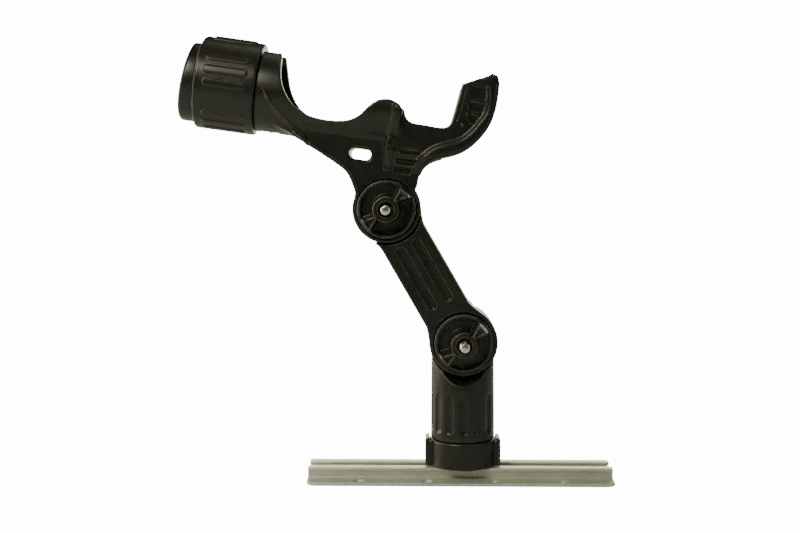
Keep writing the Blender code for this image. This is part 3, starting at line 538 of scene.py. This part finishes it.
def post_shape(x, y, z):
    radius = np.hypot(x, y)
    turn = np.arctan2(x, -y) * FLUTES / (2 * pi)
    along = (turn - np.round(turn)) * 2 * pi / FLUTES * POST_MIDDLE_RADIUS
    middle = (FLUTE_LOW + FLUTE_HIGH) / 2
    reach = (FLUTE_HIGH - FLUTE_LOW) / 2 - FLUTE_HALF
    spread = np.hypot(along, np.maximum(np.abs(z - middle) - reach, 0)) / FLUTE_HALF
    scoop = FLUTE_DEPTH * np.clip(1 - spread ** 2, 0, 1) ** 0.8
    barrel = radius - (POST_FOOT_RADIUS - POST_DRAFT * (z - POST_FOOT) / POST_LENGTH) + scoop
    body = both(barrel, between(z, POST_BOTTOM, LOWER_Z), 0.8)
    spigot = both(radius - SPIGOT_RADIUS, between(z, SHOE_FLOOR + GAP, SPIGOT_TOP), 0.6)
    body = either(body, spigot)
    up = z - LOWER_Z
    hub_radius, height = bolt_line(x, y, up)
    hub = both(hub_radius - HUB, between(height, -HUB_BACK - 2, 5))
    body = either(body, hub, 0.3)
    # The factor after each slope brings the value back to a true distance
    flare = (hub_radius - RELIEF - np.maximum(height - HUB_FRONT + 3, 0) * 0.8) * 0.8
    body = less(body, both(flare, -GAP - height), 0.9)
    back_flare = (hub_radius - RELIEF - np.maximum(-height - HUB_BACK, 0) * 1.2) * 0.66
    body = less(body, both(back_flare, height + HUB_BACK), 0.9)
    body = cut_back_hub(body, x, y, up)
    body = less(body, both(radius - PLATE_RADIUS - GAP, z - PLATE_TOP - GAP), 0.3)
    nut = hexagon(x, y, CLAMP_FLATS + 2 * GAP)
    body = less(body, both(nut, z - PLATE_TOP - CLAMP_HEIGHT - 2 * GAP))
    return less(body, both(radius - BOLT_RADIUS - 1, z - SHOE_FLOOR - GAP - 19))


def arm_shape(x, y, z):
    low_radius, height = bolt_line(x, y, z)
    up = z - ARM_LENGTH
    high_radius = np.hypot(x, up)
    bar = both(np.abs(x) - ARM_HALF_WIDTH, between(z, 0, ARM_LENGTH))
    side = either(either(low_radius - HUB, bar, ARM_FILLET), high_radius - HUB, ARM_FILLET)
    body = both(side, between(y, -HUB_FRONT, HUB_BACK), 1.6)
    body = less(body, both(low_radius - RELIEF, height - GAP), 0.7)
    body = less(body, both(high_radius - RELIEF, -GAP - height), 0.7)
    body = cut_front_hub(body, x, y, z)
    body = cut_back_hub(body, x, y, up)
    for groove in (-GROOVE_CENTRE, GROOVE_CENTRE):
        plan = capsule(x, z, (groove, GROOVE_LOW + GROOVE_HALF),
                       (groove, GROOVE_HIGH - GROOVE_HALF), GROOVE_HALF)
        body = less(body, both(plan, GROOVE_FLOOR - np.abs(y - ARM_MIDDLE), 1.2), 0.7)
    return body


def knob_shape(x, y, z):
    radius, height = bolt_line(x, y, z)
    disc = both(radius - KNOB, between(height, KNOB_BACK, KNOB_RIM), 1.1)
    disc = less(disc, both(radius - KNOB + RIM_WIDTH, KNOB_FACE - height), 0.6)
    drawn_in = (KNOB_HUB_BASE - KNOB_HUB) * (height - KNOB_FACE) / (KNOB_HUB_FRONT - KNOB_FACE)
    hub = both(radius - KNOB_HUB_BASE + drawn_in, height - KNOB_HUB_FRONT, 1.1)
    hub = both(hub, KNOB_BACK + 1 - height)
    body = either(disc, hub, 0.7)
    for middle in WING_ANGLES:
        along = x * cos(middle) + z * sin(middle)
        across = np.abs(-x * sin(middle) + z * cos(middle))
        rise = np.maximum(height - KNOB_FACE, 0)
        sides = across * cos(WING_HALF_ANGLE) - along * sin(WING_HALF_ANGLE)
        sides = sides + WING_SIDE_DRAFT * rise
        ends = both(radius - WING_OUTER + WING_END_DRAFT * rise, WING_INNER - radius, 0.5)
        dip = WING_DIP * np.exp(-((along - WING_DIP_RADIUS) / WING_DIP_SPREAD) ** 2)
        top = height - WING_FRONT + dip
        plan = both(sides, ends, 0.9)
        wing = both(both(plan, top, 0.45), KNOB_FACE - 1.0 - height)
        wing = less(wing, both(plan + WING_WALL, WING_FRONT - WING_HOLLOW - height), 0.3)
        body = either(body, wing, 0.7)
    pocket = both(radius - POCKET, between(height, POCKET_FLOOR, NUT_FRONT + POCKET_ROOM))
    body = less(body, pocket, 0.3)
    body = less(body, both(radius - NUT_LIP, POCKET_FLOOR - height), 0.6)
    return less(body, radius - HOLE, 0.2)


def wall_outline():
    """The tube's wall from the side, from behind the collar down to the low trough."""
    top = smooth_line([
        (-82.3, 95.5), (-81.5, 87), (-78.4, 72.1), (-72.3, 61.8), (-65.5, 56.4), (-57.5, 53.3),
        (-47.6, 52.3), (-39.4, 52.7), (-31.5, 54.6), (-25.4, 58.6), (-20.6, 64.6), (-15, 69.4),
        (-8, 71.0), (-2, 69.0), (TROUGH_END, 65.5)])
    return top + [(TROUGH_END, 36), (TUBE_END - 5, 36), (TUBE_END - 5, 95.5)]


WEB_LEFT = [(-21.2, 7.5), (-23.4, 12.2), (-28.2, 19.7), (-35.6, 25.0), (-57.3, 35.2),
            (-67.2, 39.6)]
FORK_INSIDE = [(TROUGH_END, 65.4), (4.2, 61.4), (8.5, 58.3), (18, 57.8), (26.6, 57.5),
               (31.6, 58.7), (34.2, 63.2), (35.7, 72), (37.6, 87.4)]
FORK_OUTSIDE = [(61.7, 91.5), (61.9, 78), (59.9, 65.5), (55, 55.2), (47.7, 46.4), (39.8, 41.3),
                (30.5, 37.7), (24.3, 34.6), (20.4, 30.6), (18.6, 26.5)]


def web_outline():
    """The flat web from the trough's underside down to the hub."""
    right = smooth_line([(30.5, 37.7), (24.3, 34.6), (20.4, 30.6), (18.3, 25), (17.8, 17.8)])
    rim = arc((0, 0), HUB, 0.72, acos(-21.2 / HUB) - 2 * pi)
    return right + rim + smooth_line(WEB_LEFT) + [(-80, 44.5), (-60, 50), (30.5, 50)]


def fork_outline():
    """One arm of the fork from the side: a level saddle, then a tall curved horn."""
    tip = [(54.1, 95.6), (56.2, 97.6), (60.2, 96.0)]
    foot = [(-3, 26.5), (-6, 33), (-6, 60), (-4, 64.4)]
    return smooth_line(FORK_INSIDE) + tip + smooth_line(FORK_OUTSIDE) + foot


def fork_foot(z):
    """Half the fork's width, which narrows towards its foot."""
    return FORK_HALF - FOOT_TAPER * np.clip(FOOT_TOP - z, 0, FOOT_LENGTH)


def fork_shape(x, y, z):
    """The fork's two arms as one block, soft along the outside and crisp along the inside."""
    inner = stroke(FORK_INSIDE, x, z)
    outer = stroke(FORK_OUTSIDE, x, z)
    soft = FORK_CRISP + FORK_SOFTER * np.clip((inner - outer) / FORK_BLEND + 0.5, 0, 1)
    half = fork_foot(z) - HORN_TAPER * np.maximum(z - HORN_SHOULDER, 0)
    return both(outline(fork_outline(), x, z), np.abs(y) - half, soft)


def fork_relief(body, x, y, z):
    """The ribs, rungs and pockets moulded into both flanks of the fork."""
    flank = FLANK_OF_FORK - np.abs(y)
    depth = FORK_HALF - np.abs(y)
    for x0, z0, x1, z1, deep in ((43, 79, 54, 87, 0.9), (44, 70.8, 53.3, 76.4, 1.8),
                                 (45, 63.2, 50.6, 68.2, 1.8), (40.5, 87.8, 56.0, 88.6, 0.8)):
        body = sunk(body, plate(x, z, x0, z0, x1, z1, min(1.2, (z1 - z0) / 2)), depth - deep)
    inner = stroke(FORK_INSIDE[5:], x, z)
    body = sunk(body, both(np.abs(inner - 2.5) - 0.7, between(z, 63, 86.5)), depth - 0.9)
    double = stroke([(54.6, 87.3), (55.9, 76.2), (55.3, 70.4), (52, 64.3), (48.1, 58.1),
                     (41.5, 51.5), (31.7, 47.3), (24.7, 43.5), (18.9, 37.9), (16.2, 35.8)], x, z)
    body = raised(body, np.abs(double - 1.1) - 0.42, flank, 0.55)
    for spot_x, spot_z, size in ((15.0, 34.9, 1.3), (43.3, 68.3, 1.1), (41.5, 60.9, 1.1)):
        body = raised(body, np.hypot(x - spot_x, z - spot_z) - size, flank, 0.8)
    return body


def cradle_relief(body, x, y, z):
    """The column, ribs, slots and rims moulded into the flanks below the trough."""
    flank = FLANK_OF_WEB - np.abs(y)
    body = raised(body, stroke([(-2.5, 66), (-2.2, 56), (-2.6, 44)], x, z) - 3.0, flank, 1.0)
    body = raised(body, capsule(x, z, (-3.7, 45), (-3.7, 26.5), 2.4), flank, 0.9)
    gusset = stroke([(-89, 65), (-83, 56), (-74, 48), (-65, 42), (-57, 36)], x, z)
    body = raised(body, gusset - 1.4, flank, 1.0)
    body = raised(body, stroke(WEB_LEFT, x, z) - 2.0, flank, 0.6)
    for x0, z0, x1, z1 in ((3.2, 37.4, 16.6, 39.9), (1.6, 30.3, 14.2, 33.7)):
        body = sunk(body, plate(x, z, x0, z0, x1, z1, 0.8), fork_foot(z) - 2.2 - np.abs(y))
    return sunk(body, plate(x, z, 0.6, 24.4, 12.4, 28.4, 1.2), HUB_FRONT - 1.9 - np.abs(y))


def cradle_shape(x, y, z):
    radius = np.hypot(y, z - AXIS)
    tube = both(radius - TUBE, TUBE_START - x, 0.6)
    tube = both(tube, outline(wall_outline(), x, z), 1.3)
    tube = both(tube, x - TROUGH_END, 3.0)
    mouth = (TUBE_END + MOUTH_SLOPE * (z - AXIS + END_RING) - x) / sqrt(1 + MOUTH_SLOPE ** 2)
    ring = both(radius - END_RING, mouth, 3.0)
    ring = both(ring, x - END_RING_INNER_X, 0.6)
    seat = both(radius - SEAT, between(x, TUBE_END + 6, SEAT_END))
    body = np.minimum(np.minimum(tube, ring), seat)
    web = both(outline(web_outline(), x, z), between(y, -HUB_FRONT, HUB_BACK), 1.4)
    body = either(body, web, 2.0)
    body = either(body, fork_shape(x, y, z), 2.6)
    body = fork_relief(body, x, y, z)
    body = cradle_relief(body, x, y, z)
    body = less(body, both(radius - TUBE_BORE, x - BORE_END), 1.0)
    channel = np.where(z < CHANNEL_AXIS, np.hypot(y, z - CHANNEL_AXIS), np.abs(y)) - CHANNEL_HALF
    body = less(body, both(channel, CHANNEL_START - x), 1.4)
    slot = both(np.abs(y) - TUBE_SLOT_HALF, AXIS - z)
    body = less(body, both(slot, x - TUBE_SLOT_END), 1.0)
    for start, end in NOTCHES:
        notch = both(between(x, start, end), np.abs(y) - NOTCH_HALF, 0.8)
        body = less(body, both(notch, z - AXIS + TUBE - NOTCH_DEPTH), 0.4)
    axis_distance, height = bolt_line(x, y, z)
    body = less(body, both(axis_distance - RELIEF, height - GAP), 0.7)
    body = cut_front_hub(body, x, y, z)
    return less(body, capsule(x, z, *WINDOW_ENDS, WINDOW_RADIUS), 1.9)


def collar_shape(x, y, z):
    radius = np.hypot(y, z)
    body = both(radius - COLLAR, np.abs(x) - COLLAR_HALF_LENGTH, 1.6)
    turn = np.degrees(np.arctan2(-y, z))
    for panel in range(PANELS):
        if panel == OPEN_PANEL:
            continue
        for step in (-1, 0, 1):
            angle = COLLAR_FIRST_RIB + PANEL_STEP * panel + RIB_STEP * step
            apart = (turn - angle + 180) % 360 - 180
            along = np.radians(apart) * COLLAR
            plan = np.hypot(np.maximum(np.abs(x) - RIB_HALF_LENGTH, 0), along) - RIB_HALF_WIDTH
            rib = both(plan, radius - COLLAR - RIB_HEIGHT, 0.8)
            body = either(body, both(rib, COLLAR - 2 - radius), 0.6)
    body = less(body, radius - COLLAR_BORE, 0.5)
    opening = radians(COLLAR_FIRST_RIB + PANEL_STEP * OPEN_PANEL)
    across = np.abs(y * cos(opening) + z * sin(opening))
    outward = -y * sin(opening) + z * cos(opening)
    return less(body, both(across - OPENING_HALF, -outward), 1.0)


def thread(radius, turn, along, crest, length_low, length_high):
    """Distance from a threaded rod: a ridge that winds round it once in each pitch."""
    phase = (along / THREAD_PITCH - turn / (2 * pi)) % 1
    depth = THREAD_DEPTH * np.abs(phase - 0.5) * 2
    ends = np.clip(np.minimum(along - length_low, length_high - along) / THREAD_RUNOUT, 0, 1)
    return (radius - crest + depth * ends) * 0.8


def bevel(radius, past, corner):
    """The cone that takes a hexagon's corners off, where past is the length beyond its start."""
    return (radius - corner + np.maximum(past, 0) * 1.7) * 0.5


def joint_bolt_shape(x, y, z):
    radius, height = bolt_line(x, y, z)
    rod = thread(radius, np.arctan2(z, x), height, BOLT_RADIUS, ROD_THREAD_START,
                 BOLT_TIP + 5)
    dome = np.sqrt(radius ** 2 + (height - BOLT_TIP + TIP_DOME) ** 2) - TIP_DOME
    rod = both(rod, dome, 0.5)
    rod = both(rod, ROD_BACK - height)
    head = both(hexagon(x, z, HEX_FLATS), between(height, HEAD_BACK, HEAD_FRONT), 0.25)
    head = both(head, bevel(radius, -height - HEAD_BEVEL_START, HEX_CORNER), 0.1)
    return either(rod, head, 0.3)


def rail_bolt_shape(x, y, z):
    radius = np.hypot(x, y)
    top = LIP_BOTTOM - GAP
    plan_x = np.maximum(np.abs(x) - TEE_HALF_LENGTH, 0)
    plan_y = np.maximum(np.abs(y) - TEE_HALF_WIDTH, 0)
    head = both(np.hypot(plan_x, plan_y) - TEE_CORNER, between(z, top - TEE_THICKNESS, top), 0.5)
    rod = thread(radius, np.arctan2(y, x), z, BOLT_RADIUS, top + 2, 60)
    rod = both(rod, between(z, top - 1, SHOE_FLOOR + GAP + CLAMP_STEM), 0.6)
    return either(head, rod, 0.4)


def clamp_washer_shape(x, y, z):
    ring = between(np.hypot(x, y), HOLE, CLAMP_WASHER_RADIUS)
    return both(ring, np.abs(z) - WASHER / 2, 0.35)


def joint_washer_shape(x, y, z):
    ring = between(np.hypot(x, z), HOLE, WASHER_RADIUS)
    return both(ring, np.abs(y) - WASHER / 2, 0.35)


def plate_shape(x, y, z):
    return both(between(np.hypot(x, y), HOLE + 1, PLATE_RADIUS), np.abs(z) - PLATE / 2, 0.4)


def clamp_nut_shape(x, y, z):
    radius = np.hypot(x, y)
    body = both(hexagon(x, y, CLAMP_FLATS), np.abs(z) - CLAMP_HEIGHT / 2, 0.3)
    body = both(body, bevel(radius, np.abs(z) - CLAMP_BEVEL_START, CLAMP_CORNER), 0.1)
    return less(body, radius - HOLE, 0.4)


def knob_nut_shape(x, y, z):
    radius, height = bolt_line(x, y, z)
    body = both(hexagon(x, z, HEX_FLATS), between(height, POCKET_FLOOR + GAP, NUT_FRONT), 0.25)
    body = both(body, bevel(radius, height - NUT_FRONT + NUT_BEVEL, HEX_CORNER), 0.1)
    return less(body, radius - HOLE, 0.4)


# ---------------------------------------------------------------- materials


def new_material(name):
    material = bpy.data.materials.new(name)
    material.use_nodes = True
    nodes = material.node_tree.nodes
    return material, nodes, material.node_tree.links, nodes["Principled BSDF"]


def noise(nodes, links, where, scale, detail=4.0, roughness=0.5):
    texture = nodes.new("ShaderNodeTexNoise")
    texture.inputs["Scale"].default_value = scale
    texture.inputs["Detail"].default_value = detail
    texture.inputs["Roughness"].default_value = roughness
    links.new(where, texture.inputs["Vector"])
    return texture.outputs["Fac"]


def ramp(nodes, links, value, low, high, start=0.0, end=1.0):
    """The value's span from start to end, mapped to low..high."""
    mapped = nodes.new("ShaderNodeMapRange")
    mapped.inputs["From Min"].default_value = start
    mapped.inputs["From Max"].default_value = end
    mapped.inputs["To Min"].default_value = low
    mapped.inputs["To Max"].default_value = high
    links.new(value, mapped.inputs["Value"])
    return mapped.outputs["Result"]


def combined(nodes, links, a, b, operation="ADD"):
    maths = nodes.new("ShaderNodeMath")
    maths.operation = operation
    for socket, value in zip(maths.inputs, (a, b)):
        if isinstance(value, float):
            socket.default_value = value
        else:
            links.new(value, socket)
    return maths.outputs["Value"]


def mixed(nodes, links, factor, first, second):
    mix = nodes.new("ShaderNodeMix")
    mix.data_type = "RGBA"
    links.new(factor, mix.inputs["Factor"])
    for socket, colour in ((mix.inputs["A"], first), (mix.inputs["B"], second)):
        if isinstance(colour, tuple):
            socket.default_value = (*colour, 1)
        else:
            links.new(colour, socket)
    return mix.outputs["Result"]


def object_place(nodes):
    return nodes.new("ShaderNodeTexCoord").outputs["Object"]


def moulded_plastic():
    """Satin black glass-filled nylon: a fine grain, faint flow marks, and edges lightened partly
    by rubbing and partly by a painted highlight.
    """
    material, nodes, links, shader = new_material("moulded_plastic")
    where = object_place(nodes)
    cloudy = noise(nodes, links, where, 38, 5, 0.6)
    grain = noise(nodes, links, where, 2600, 3, 0.6)
    swirl = noise(nodes, links, where, 140, 6, 0.65)
    edge = nodes.new("ShaderNodeAttribute")
    edge.attribute_name = "edge"
    edge_mask = ramp(nodes, links, edge.outputs["Fac"], 0.0, 1.0, 0.45, 1.6)
    # Painted highlight: edges are lightened, in patches set by the swirl noise, partly as rubbing
    # wear and partly to paint in bright edge highlights
    wear_and_painted_highlight = combined(nodes, links, edge_mask, ramp(nodes, links, swirl, 0.15, 1.0, 0.35, 0.62),
                    "MULTIPLY")
    base = mixed(nodes, links, ramp(nodes, links, cloudy, 0.0, 1.0, 0.3, 0.7),
                 PLASTIC_DARK, PLASTIC_LIGHT)
    links.new(mixed(nodes, links, wear_and_painted_highlight, base, PLASTIC_WORN_AND_PAINTED_HIGHLIGHT),
              shader.inputs["Base Color"])
    dull = combined(nodes, links, ramp(nodes, links, swirl, -0.05, 0.05, 0.3, 0.7),
                    ramp(nodes, links, grain, 0.30, 0.40, 0.3, 0.7))
    links.new(dull, shader.inputs["Roughness"])
    bump = nodes.new("ShaderNodeBump")
    bump.inputs["Strength"].default_value = 0.16
    bump.inputs["Distance"].default_value = 0.00005
    links.new(grain, bump.inputs["Height"])
    links.new(bump.outputs["Normal"], shader.inputs["Normal"])
    shader.inputs["IOR"].default_value = 1.47
    return material


def metal(name, dark, light, dull, stretch, scale, bump_depth, metallic=1.0):
    """Bare metal with drawn or turned marks: stretch squeezes the marks along each axis."""
    material, nodes, links, shader = new_material(name)
    where = object_place(nodes)
    mapping = nodes.new("ShaderNodeMapping")
    mapping.inputs["Scale"].default_value = stretch
    links.new(where, mapping.inputs["Vector"])
    marks = noise(nodes, links, mapping.outputs["Vector"], scale, 5, 0.65)
    patches = noise(nodes, links, where, 45, 5, 0.6)
    edge = nodes.new("ShaderNodeAttribute")
    edge.attribute_name = "edge"
    edge_mask = ramp(nodes, links, edge.outputs["Fac"], 0.0, 1.0, 0.4, 1.6)
    tone = combined(nodes, links, ramp(nodes, links, marks, 0.0, 0.6, 0.3, 0.7),
                    ramp(nodes, links, patches, 0.0, 0.4, 0.3, 0.7))
    base = mixed(nodes, links, tone, dark, light)
    bright = tuple(min(1.0, part * 1.12) for part in light)
    links.new(mixed(nodes, links, edge_mask, base, bright), shader.inputs["Base Color"])
    links.new(combined(nodes, links, ramp(nodes, links, marks, dull - 0.05, dull + 0.06, 0.3, 0.7),
                       ramp(nodes, links, patches, -0.03, 0.04, 0.3, 0.7)),
              shader.inputs["Roughness"])
    shader.inputs["Metallic"].default_value = metallic
    bump = nodes.new("ShaderNodeBump")
    bump.inputs["Strength"].default_value = 0.25
    bump.inputs["Distance"].default_value = bump_depth
    links.new(marks, bump.inputs["Height"])
    links.new(bump.outputs["Normal"], shader.inputs["Normal"])
    return material


def seen_white(nodes, links, strength):
    """White for the camera alone, so that the ground stays clean without lighting the object."""
    kind = "ShaderNodeBackground" if "Background" in nodes else "ShaderNodeEmission"
    white = nodes.new(kind)
    white.inputs["Color"].default_value = (1, 1, 1, 1)
    white.inputs["Strength"].default_value = strength
    path = nodes.new("ShaderNodeLightPath")
    mix = nodes.new("ShaderNodeMixShader")
    links.new(path.outputs["Is Camera Ray"], mix.inputs["Fac"])
    links.new(white.outputs[0], mix.inputs[2])
    return mix


def studio_white():
    material, nodes, links, shader = new_material("studio_white")
    shader.inputs["Base Color"].default_value = (0.75, 0.75, 0.75, 1)
    shader.inputs["Roughness"].default_value = 0.9
    mix = seen_white(nodes, links, SEEN_WHITE)
    links.new(shader.outputs["BSDF"], mix.inputs[1])
    links.new(mix.outputs["Shader"], nodes["Material Output"].inputs["Surface"])
    return material


# ---------------------------------------------------------------- the scene


def light(name, location, target, size, power):
    data = bpy.data.lights.new(name, "AREA")
    data.shape = "RECTANGLE"
    data.size, data.size_y = size
    data.energy = power
    data.color = LAMP_COLOUR
    lamp = bpy.data.objects.new(name, data)
    lamp.location = location
    lamp.rotation_euler = (Vector(target) - Vector(location)).to_track_quat("-Z", "Y").to_euler()
    lamp.visible_camera = False
    bpy.context.scene.collection.objects.link(lamp)


def make_studio():
    mesh = bpy.data.meshes.new("floor")
    mesh.from_pydata([(-4, -3, 0), (4, -3, 0), (4, 5, 0), (-4, 5, 0)], [], [(0, 1, 2, 3)])
    floor = bpy.data.objects.new("floor", mesh)
    floor.location = (0, 0, -0.0004)
    mesh.materials.append(studio_white())
    bpy.context.scene.collection.objects.link(floor)
    world = bpy.data.worlds.new("studio")
    world.use_nodes = True
    nodes, links = world.node_tree.nodes, world.node_tree.links
    nodes["Background"].inputs["Color"].default_value = (1, 1, 1, 1)
    nodes["Background"].inputs["Strength"].default_value = ROOM_GLOW
    mix = seen_white(nodes, links, SEEN_WHITE)
    links.new(nodes["Background"].outputs["Background"], mix.inputs[1])
    links.new(mix.outputs["Shader"], nodes["World Output"].inputs["Surface"])
    bpy.context.scene.world = world
    middle = (-0.04, 0, 0.14)
    light("key", (-0.50, -0.70, 0.80), middle, (0.40, 0.35), 7)
    light("top", (0.10, 0.10, 1.05), middle, (0.8, 0.4), 1)
    light("fill", (0.85, -0.55, 0.45), middle, (0.4, 0.5), 1.2)
    light("left card", (-1.10, 0.25, 0.35), middle, (0.8, 0.9), 9)
    light("backdrop", (-0.10, 1.30, 0.30), (-0.04, 0, 0.20), (3.0, 0.75), 24)


def make_camera():
    data = bpy.data.cameras.new("camera")
    data.lens = LENS
    data.sensor_width = SENSOR
    data.shift_y = SHIFT_Y
    camera = bpy.data.objects.new("camera", data)
    camera.location = CAMERA_PLACE
    camera.rotation_euler = CAMERA_TURN
    bpy.context.scene.collection.objects.link(camera)
    bpy.context.scene.camera = camera


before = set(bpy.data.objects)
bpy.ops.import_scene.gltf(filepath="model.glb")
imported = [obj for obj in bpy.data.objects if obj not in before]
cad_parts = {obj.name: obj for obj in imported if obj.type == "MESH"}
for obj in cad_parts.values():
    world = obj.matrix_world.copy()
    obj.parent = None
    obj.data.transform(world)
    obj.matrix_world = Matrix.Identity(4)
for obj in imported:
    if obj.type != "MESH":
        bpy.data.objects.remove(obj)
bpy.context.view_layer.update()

plastic = moulded_plastic()
aluminium = metal("drawn_aluminium", dark=(0.54, 0.54, 0.47), light=(0.68, 0.68, 0.60), dull=0.42,
                  stretch=(0.03, 1, 1), scale=1500, bump_depth=0.00003, metallic=0.6)
steel = metal("turned_steel", dark=(0.55, 0.55, 0.53), light=(0.74, 0.73, 0.70), dull=0.27,
              stretch=(1, 0.15, 1), scale=900, bump_depth=0.00002)
# Painted shade: a darkened copy of the steel, used on the knob nuts to stand in for the shade deep
# in the knobs' pockets
shade_darkened_steel = metal("steel_darkened_for_shade", dark=(0.035, 0.035, 0.030), light=(0.085, 0.083, 0.072),
                   dull=0.42, stretch=(1, 0.15, 1), scale=900, bump_depth=0.00002)
brass = metal("machined_brass", dark=(0.52, 0.38, 0.15), light=(0.72, 0.54, 0.24), dull=0.30,
              stretch=(1, 1, 0.15), scale=900, bump_depth=0.00002)

on_post = (HOLDER_X, 0, 0)
low_joint = (HOLDER_X, 0, LOWER_Z)
high_joint = (UPPER_X, 0, UPPER_Z)

# Each sculpt call gives the piece's box in its own frame, the grid's step and the triangles
piece("rail_extrusion", sculpt(rail_shape, (-101.6, -27.4, 0), (101.6, 27.4, 8.4), 0.32, 60000),
      "rail", "rail", aluminium)
piece("base_shoe_moulding", sculpt(shoe_shape, (-25.2, -22, 6.8), (25.2, 22, 27.6), 0.28, 50000),
      "base_shoe", "carriage", plastic, 0, on_post)
piece("rail_tee_bolt", sculpt(rail_bolt_shape, (-11, -8.7, 2.6), (11, 8.7, 31.2), 0.16, 30000),
      "rail_bolt", "carriage", steel, 0, on_post)
piece("clamp_thrust_washer", sculpt(clamp_washer_shape, (-12, -12, -1), (12, 12, 1), 0.15, 5000),
      "clamp_washer", "carriage", steel, 0, (HOLDER_X, 0, SHOE_FLOOR + GAP + WASHER / 2))
piece("post_moulding", sculpt(post_shape, (-22.6, -21.3, 13.2), (22.6, 21.3, 115.6), 0.32, 70000),
      "post_body", "post", plastic, 0, on_post)
piece("clamp_hex_nut", sculpt(clamp_nut_shape, (-9.9, -9.9, -4), (9.9, 9.9, 4), 0.16, 12000),
      "clamp_nut", "post", brass, 0, (HOLDER_X, 0, PLATE_TOP + GAP + CLAMP_HEIGHT / 2))
piece("nut_retainer_plate", sculpt(plate_shape, (-14, -14, -1), (14, 14, 1), 0.2, 5000),
      "nut_retainer", "post", steel, 0, (HOLDER_X, 0, PLATE_TOP - PLATE / 2))
piece("arm_moulding", sculpt(arm_shape, (-22.6, -17.5, -22.6), (22.6, 17, 124.2), 0.32, 80000),
      "arm_body", "arm", plastic, ARM_LEAN, low_joint)
piece("cradle_moulding",
      sculpt(cradle_shape, (-146.3, -27.6, -22.6), (61.9, 27.6, 97.6), 0.42, 150000),
      "cradle_body", "cradle", plastic, CRADLE_TILT, high_joint)
collar_x = (COLLAR_START + COLLAR_END) / 2
collar_place = placed(np.array([[collar_x, 0.0, AXIS]]), CRADLE_TILT, high_joint)[0] / MM
piece("collar_ring", sculpt(collar_shape, (-20, -31.5, -31.5), (20, 31.5, 31.5), 0.3, 70000),
      "collar", "collar", plastic, CRADLE_TILT, collar_place)

knob = sculpt(knob_shape, (-19.3, -34, -19.3), (19.3, -14.5, 19.3), 0.2, 60000)
bolt = sculpt(joint_bolt_shape, (-6.5, -42, -6.5), (6.5, 17, 6.5), 0.13, 40000)
washer = sculpt(joint_washer_shape, (-8, -0.7, -8), (8, 0.7, 8), 0.13, 5000)
nut = sculpt(knob_nut_shape, (-6.5, -28, -6.5), (6.5, -23.3, 6.5), 0.13, 10000)
for name, joint, bolt_body in (("lower", low_joint, "post"), ("upper", high_joint, "arm")):
    piece(name + "_knob_moulding", knob, name + "_knob", name + "_knob", plastic,
          0, joint)
    # The knob nuts take the steel darkened as painted shade for their deep pockets
    piece(name + "_knob_hex_nut", nut, name + "_knob_nut", name + "_knob", shade_darkened_steel,
          0, joint)
    piece(name + "_threaded_bolt", bolt, name + "_bolt", bolt_body, steel, 0, joint)
    back = WELL_FLOOR + GAP + WASHER / 2
    front = DISH_FLOOR + GAP + WASHER / 2
    piece(name + "_bolt_washer", washer, name + "_back_washer", bolt_body, steel, 0,
          (joint[0], back, joint[2]))
    piece(name + "_dish_washer", washer, name + "_knob_washer", bolt_body, steel, 0,
          (joint[0], -front, joint[2]))

make_studio()
make_camera()
